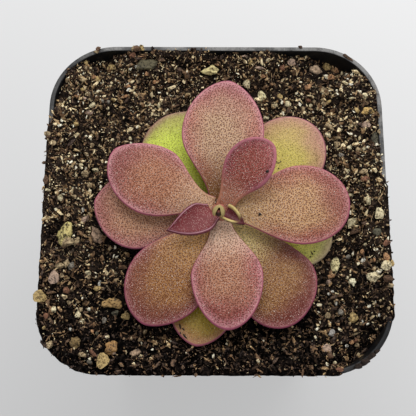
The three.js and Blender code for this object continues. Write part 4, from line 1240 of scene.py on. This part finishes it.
def leaf_skin(name, heart, flush, rim, base, tip, reach):
    """Living leaf skin: a pale heart, a pink flush, a thin mauve rim, dark gland dots and painted glints
    of the glue.
    """
    finish = start_finish(name + " leaf skin")
    where = place()
    on_blade = scaled(Wire.node("ShaderNodeUVMap", {"uv_map": "blade"}), float(UV_SIZE))
    margin, along, face = attribute("margin"), attribute("along"), attribute("face")
    drift, mottle = cloud(where, 0.11, 3, 0.5), cloud(where, 0.9, 4, 0.65)
    flushed = (1.0 - margin / reach + (drift - 0.5) * 1.3).between(0.0, 1.0)
    # The low_front leaves' pale bases reach further up, as painted light where the upper leaves shade
    # them.
    from_base = along.between(0.54, 0.1) if name.startswith("low_front") else along.between(0.46, 0.06)
    colour = Wire.mix(Wire.mix(heart, flush, flushed), base, from_base)
    colour = Wire.mix(colour, tip, (along + (drift - 0.5) * 0.4).between(0.62, 1.0) * 0.8)
    if name == "young_back_right":
        # young_back_right's margin: its own mauve together with a painted highlight on the raised edge.
        colour = Wire.mix(colour, rim, margin.between(1.2, 0.2) * along.between(0.2, 0.6) * 0.6)
    elif name == "young_left":
        # A painted highlight on the crest of young_left's rolled margin, with painted shade inside it and
        # on its outer wall.
        colour = Wire.mix(colour, YOUNG_INNER_SHADE, margin.between(0.6, 0.4) * 0.5)
        colour = Wire.mix(colour, rim, margin.between(0.3, 0.2) * 0.65)
        colour = Wire.mix(colour, YOUNG_OUTER_SHADE, margin.between(0.14, 0.06) * 0.9)
    elif not name.startswith("bud"):
        bloom = margin.between(1.9, 0.3) * along.between(0.1, 0.5) * by_kind(name, FROSTED, 0)
        colour = Wire.mix(Wire.mix(colour, BLOOM, bloom), rim, margin.between(0.42, 0.2) * 0.85)
    colour = Wire.mix(colour, STAINS, (0.55 - mottle).between(0.0, 0.3) * 0.3)
    dot = cells(on_blade, DOTS_PER_MM, "2D", 0.88).between(0.42, 0.16) * margin.between(0.3, 0.7) * face
    dot = dot * by_kind(name, DOTTED, 1.0) * (0.7 + along.between(0.1, 0.4) * 0.3)
    # Painted highlights: pale glints of the glue drops, most towards the base; they also smooth and raise
    # the skin.
    painted_glint = cells(on_blade, GLINTS_PER_MM, "2D").between(0.28, 0.1) * mottle.between(0.36, 0.56)
    painted_glint = painted_glint * margin.between(0.2, 0.6) * face * (1.45 - 0.9 * along) * by_kind(name, GLINT_SHARES, 1.0)
    colour = Wire.mix(Wire.mix(colour, DOTS, dot * 0.8), GLUE_GLINT, painted_glint * 0.56)
    if name.startswith("bud"):
        # painted shadow: the buds' dark outer face
        under, turns_at = BUD_SHADOW_UNDERSIDE, (0.0, 0.6)
    elif name == "young_left":
        # painted shade: young_left's dark underside and edge wall
        under, turns_at = YOUNG_SHADED_UNDERSIDE, (0.6, 1.0)
    else:
        under, turns_at = Wire.mix(flush, UNDERSIDE, 0.35), (0.0, 0.6)
    colour = Wire.mix(under, colour, face.between(*turns_at))
    if name.startswith("bud"):
        lip = margin.between(0.85, 0.6) * (0.5 + 0.5 * face)
        if name == "bud_right":
            lip = lip * (1 - along.between(0.5, 0.8))
        colour = Wire.mix(colour, rim, lip * 0.95)
    end_finish({
        "Base Color": colour, "Roughness": 0.42 - 0.2 * painted_glint, "Specular IOR Level": 0.2,
        "Normal": relief(dot * 0.5 + painted_glint * 0.8 + 0.3 * mottle, 0.09)})
    return finish


leaves = []
for name in LEAF_SHAPES:
    leaf = new_part("blade_" + name, leaf_mesh(name), leaf_skin(name, *LEAF_COLOURS[name]))
    hand_in(leaf, "leaf_" + name.split("_")[0], "leaf_" + name)
    leaves.append(leaf)

HEART_MIDDLE, HEART_REACH = (0.57, -5.15, 78.0), (0.66, 0.66, 1.35)   # the last leaf, still furled
HEART_SHADE, HEART_LIT = (46, 26, 21), (158, 90, 80)
work = bmesh.new()
bmesh.ops.create_icosphere(work, subdivisions=3, radius=1)
for vertex in work.verts:
    vertex.co = Vector([HEART_MIDDLE[k] + vertex.co[k] * HEART_REACH[k] for k in range(3)]) * MM
heart_finish = start_finish("furled leaf")
# The furled leaf is painted dark brown as shade, with a painted lit patch at its top front.
lit = coordinate("Y").between(-5.7, -5.0) * coordinate("Z").between(78.6, 79.2)
lit = lit * cloud(place(), 1.6).between(0.2, 0.6)
end_finish({"Base Color": Wire.mix(HEART_SHADE, HEART_LIT, lit), "Roughness": 0.5})
hand_in(new_part("furled_heart", close_mesh(work, "furled_heart"), heart_finish), "leaf_bud")

# ---------------------------------------------------------------- the glands
# Every leaf's upper face but young_left's and the two buds' is set with short stalked glands, about
# half a millimetre apart, each a dark red head under a drop of clear glue that catches insects and the
# light.

GLAND_SIZES = {"Apart": 0.44, "Smallest": 0.13, "Largest": 0.2, "Seed": 17}
GLAND_TOP, GLAND_FOOT, GLAND_SIDES = 1.25, -0.35, 5
GLAND_RINGS = ((1.02, 0.36), (0.55, 0.5))   # height and radius, in gland sizes
GLAND_LEAN, GLAND_MARGIN = 0.25, 0.45
GLAND_STOPS = {
    "lowest": ((0.0, (110, 100, 44)), (0.5, (150, 140, 70)), (1.0, (236, 232, 180))),
    "low": ((0.0, (84, 34, 14)), (0.5, (112, 56, 34)), (0.76, (150, 94, 72)), (0.84, (180, 130, 108)),
            (1.0, (255, 244, 232))),
    "high": ((0.0, (92, 38, 14)), (0.5, (126, 64, 36)), (0.78, (166, 106, 82)), (0.88, (196, 144, 120)),
             (1.0, (255, 244, 230)))}


def gland_heads(count, seed):
    """Small round heads about 1 across that taper down to a short stalk."""
    random = np.random.default_rng(seed)
    for _ in range(count):
        work, loops = bmesh.new(), []
        top, foot = work.verts.new((0, 0, GLAND_TOP)), work.verts.new((0, 0, GLAND_FOOT))
        for z, radius in GLAND_RINGS:
            turns = [2 * math.pi * k / GLAND_SIDES for k in range(GLAND_SIDES)]
            loops.append([work.verts.new((radius * random.uniform(0.9, 1.1) * math.cos(t),
                                          radius * random.uniform(0.9, 1.1) * math.sin(t), z))
                          for t in turns])
        skin(work, loops[1], loops[0])
        for k in range(GLAND_SIDES):
            after = (k + 1) % GLAND_SIDES
            work.faces.new((loops[0][k], loops[0][after], top))
            work.faces.new((loops[1][after], loops[1][k], foot))
        yield close_mesh(work, "gland")


def gland_tree(box, finish):
    """Sets glands over the upper faces, well apart and clear of the margin."""
    tree, given = open_tree("set glands", GLAND_SIZES)
    seed, smallest = given["Seed"], given["Smallest"]
    inside = Wire.maths("GREATER_THAN", field("margin"), GLAND_MARGIN)
    kept = inside * Wire.maths("GREATER_THAN", field("face"), 0.9)
    points = Wire.node("GeometryNodeDistributePointsOnFaces", {"distribute_method": "POISSON"}, {
        "Mesh": given["Ground"], "Distance Min": given["Apart"] * MM, "Density Max": 5.0 / (MM * MM),
        "Density Factor": kept, "Seed": seed})
    size = smallest + (given["Largest"] - smallest) * chance(0.0, 1.0, seed)
    set_out(box, points, turned(points, seed, GLAND_LEAN), scaled((1, 1, 1), size * MM), seed, finish)
    return tree


head_box = fill_box("gland_shapes", gland_heads(3, 5))
for tier, members in (("lowest", leaves[:4]), ("low", leaves[4:7]), ("high", leaves[7:12])):
    gland_finish = start_finish("gland heads " + tier)
    end_finish({
        "Base Color": Wire.ramp(GLAND_STOPS[tier], attribute("tone")), "Roughness": 0.35,
        "Specular IOR Level": 0.12, "Coat Weight": 0.05, "Coat Roughness": 0.1})
    work, values = bmesh.new(), {"margin": [], "face": []}
    for leaf in members:
        work.from_mesh(leaf.data)
        for key, kept in values.items():
            part = np.zeros(len(leaf.data.vertices), np.float32)
            leaf.data.attributes[key].data.foreach_get("value", part)
            kept.append(part)
    carrier_mesh = close_mesh(work, "gland_carrier", smooth=False)
    for key, kept in values.items():
        if key in carrier_mesh.attributes:
            carrier_mesh.attributes.remove(carrier_mesh.attributes[key])
        store(carrier_mesh, key, np.concatenate(kept))
    carrier = new_part("gland_carrier", carrier_mesh, None)
    heads = grow("glands_" + tier, carrier, gland_tree(head_box, gland_finish), GLAND_SIZES)
    bpy.data.objects.remove(carrier)
    hand_in(heads, "leaf_" + ("upper" if tier == "high" else tier))
clear_box(head_box)

# ---------------------------------------------------------------- crumbs on the leaves
# A little peat has splashed up while the pot was watered. Single crumbs and splinters of it
# stick to the glue on the leaves' upper faces, flat where they landed.

FALLEN = (  # across and down in the camera's picture, length and width in millimetres, tilt
    (267.3, 171.5, 0.65, 0.58, 0), (259.9, 214.4, 0.65, 0.58, 0), (276.6, 161.8, 0.35, 0.25, -40),
    (278.3, 162.9, 0.7, 0.22, 5), (280.6, 161.8, 0.35, 0.22, 50), (278.6, 168.5, 0.35, 0.3, 0),
    (180.2, 326.4, 1.2, 0.36, -80), (184.8, 336.2, 1.3, 0.36, -50), (183.6, 329.3, 0.7, 0.3, -45),
    (180.4, 333, 0.6, 0.24, -75), (152.5, 122.5, 0.9, 0.22, -35), (156.5, 119.8, 0.6, 0.2, 20),
    (312, 253.5, 0.9, 0.22, -65), (310.5, 257, 0.5, 0.25, 0), (314.5, 251.5, 0.35, 0.3, 0))
SPLASH_DARK, SPLASH_LIGHT = (16, 12, 10), (46, 34, 26)
roof = surface(*[leaf.data for leaf in leaves])
work = bmesh.new()
for across, down, long, thin, tilt in FALLEN:
    top = under_view(roof, across, down)
    if top is None:
        continue
    made = bmesh.ops.create_icosphere(work, subdivisions=2, radius=1)
    along_way = unit(math.radians(tilt))
    for vertex in made["verts"]:
        bumpy = (1 + 0.5 * noise.noise(vertex.co * 1.7 + Vector((across, down, 0)))) / 2
        shape = vertex.co * bumpy
        vertex.co = (top + along_way * shape.x * long + beside(along_way) * shape.y * thin
                     + Vector((0, 0, (shape.z * 0.8 + 0.3) * thin))) * MM
splash_finish = start_finish("stuck peat")
grime = cloud(place(), 2.0, 4, 0.7)
end_finish({"Base Color": Wire.mix(SPLASH_DARK, SPLASH_LIGHT, grime.between(0.4, 0.7)),
            "Roughness": 0.8, "Normal": relief(grime, 0.1)})
hand_in(new_part("fallen_crumbs", close_mesh(work, "fallen_crumbs"), splash_finish), "peat")
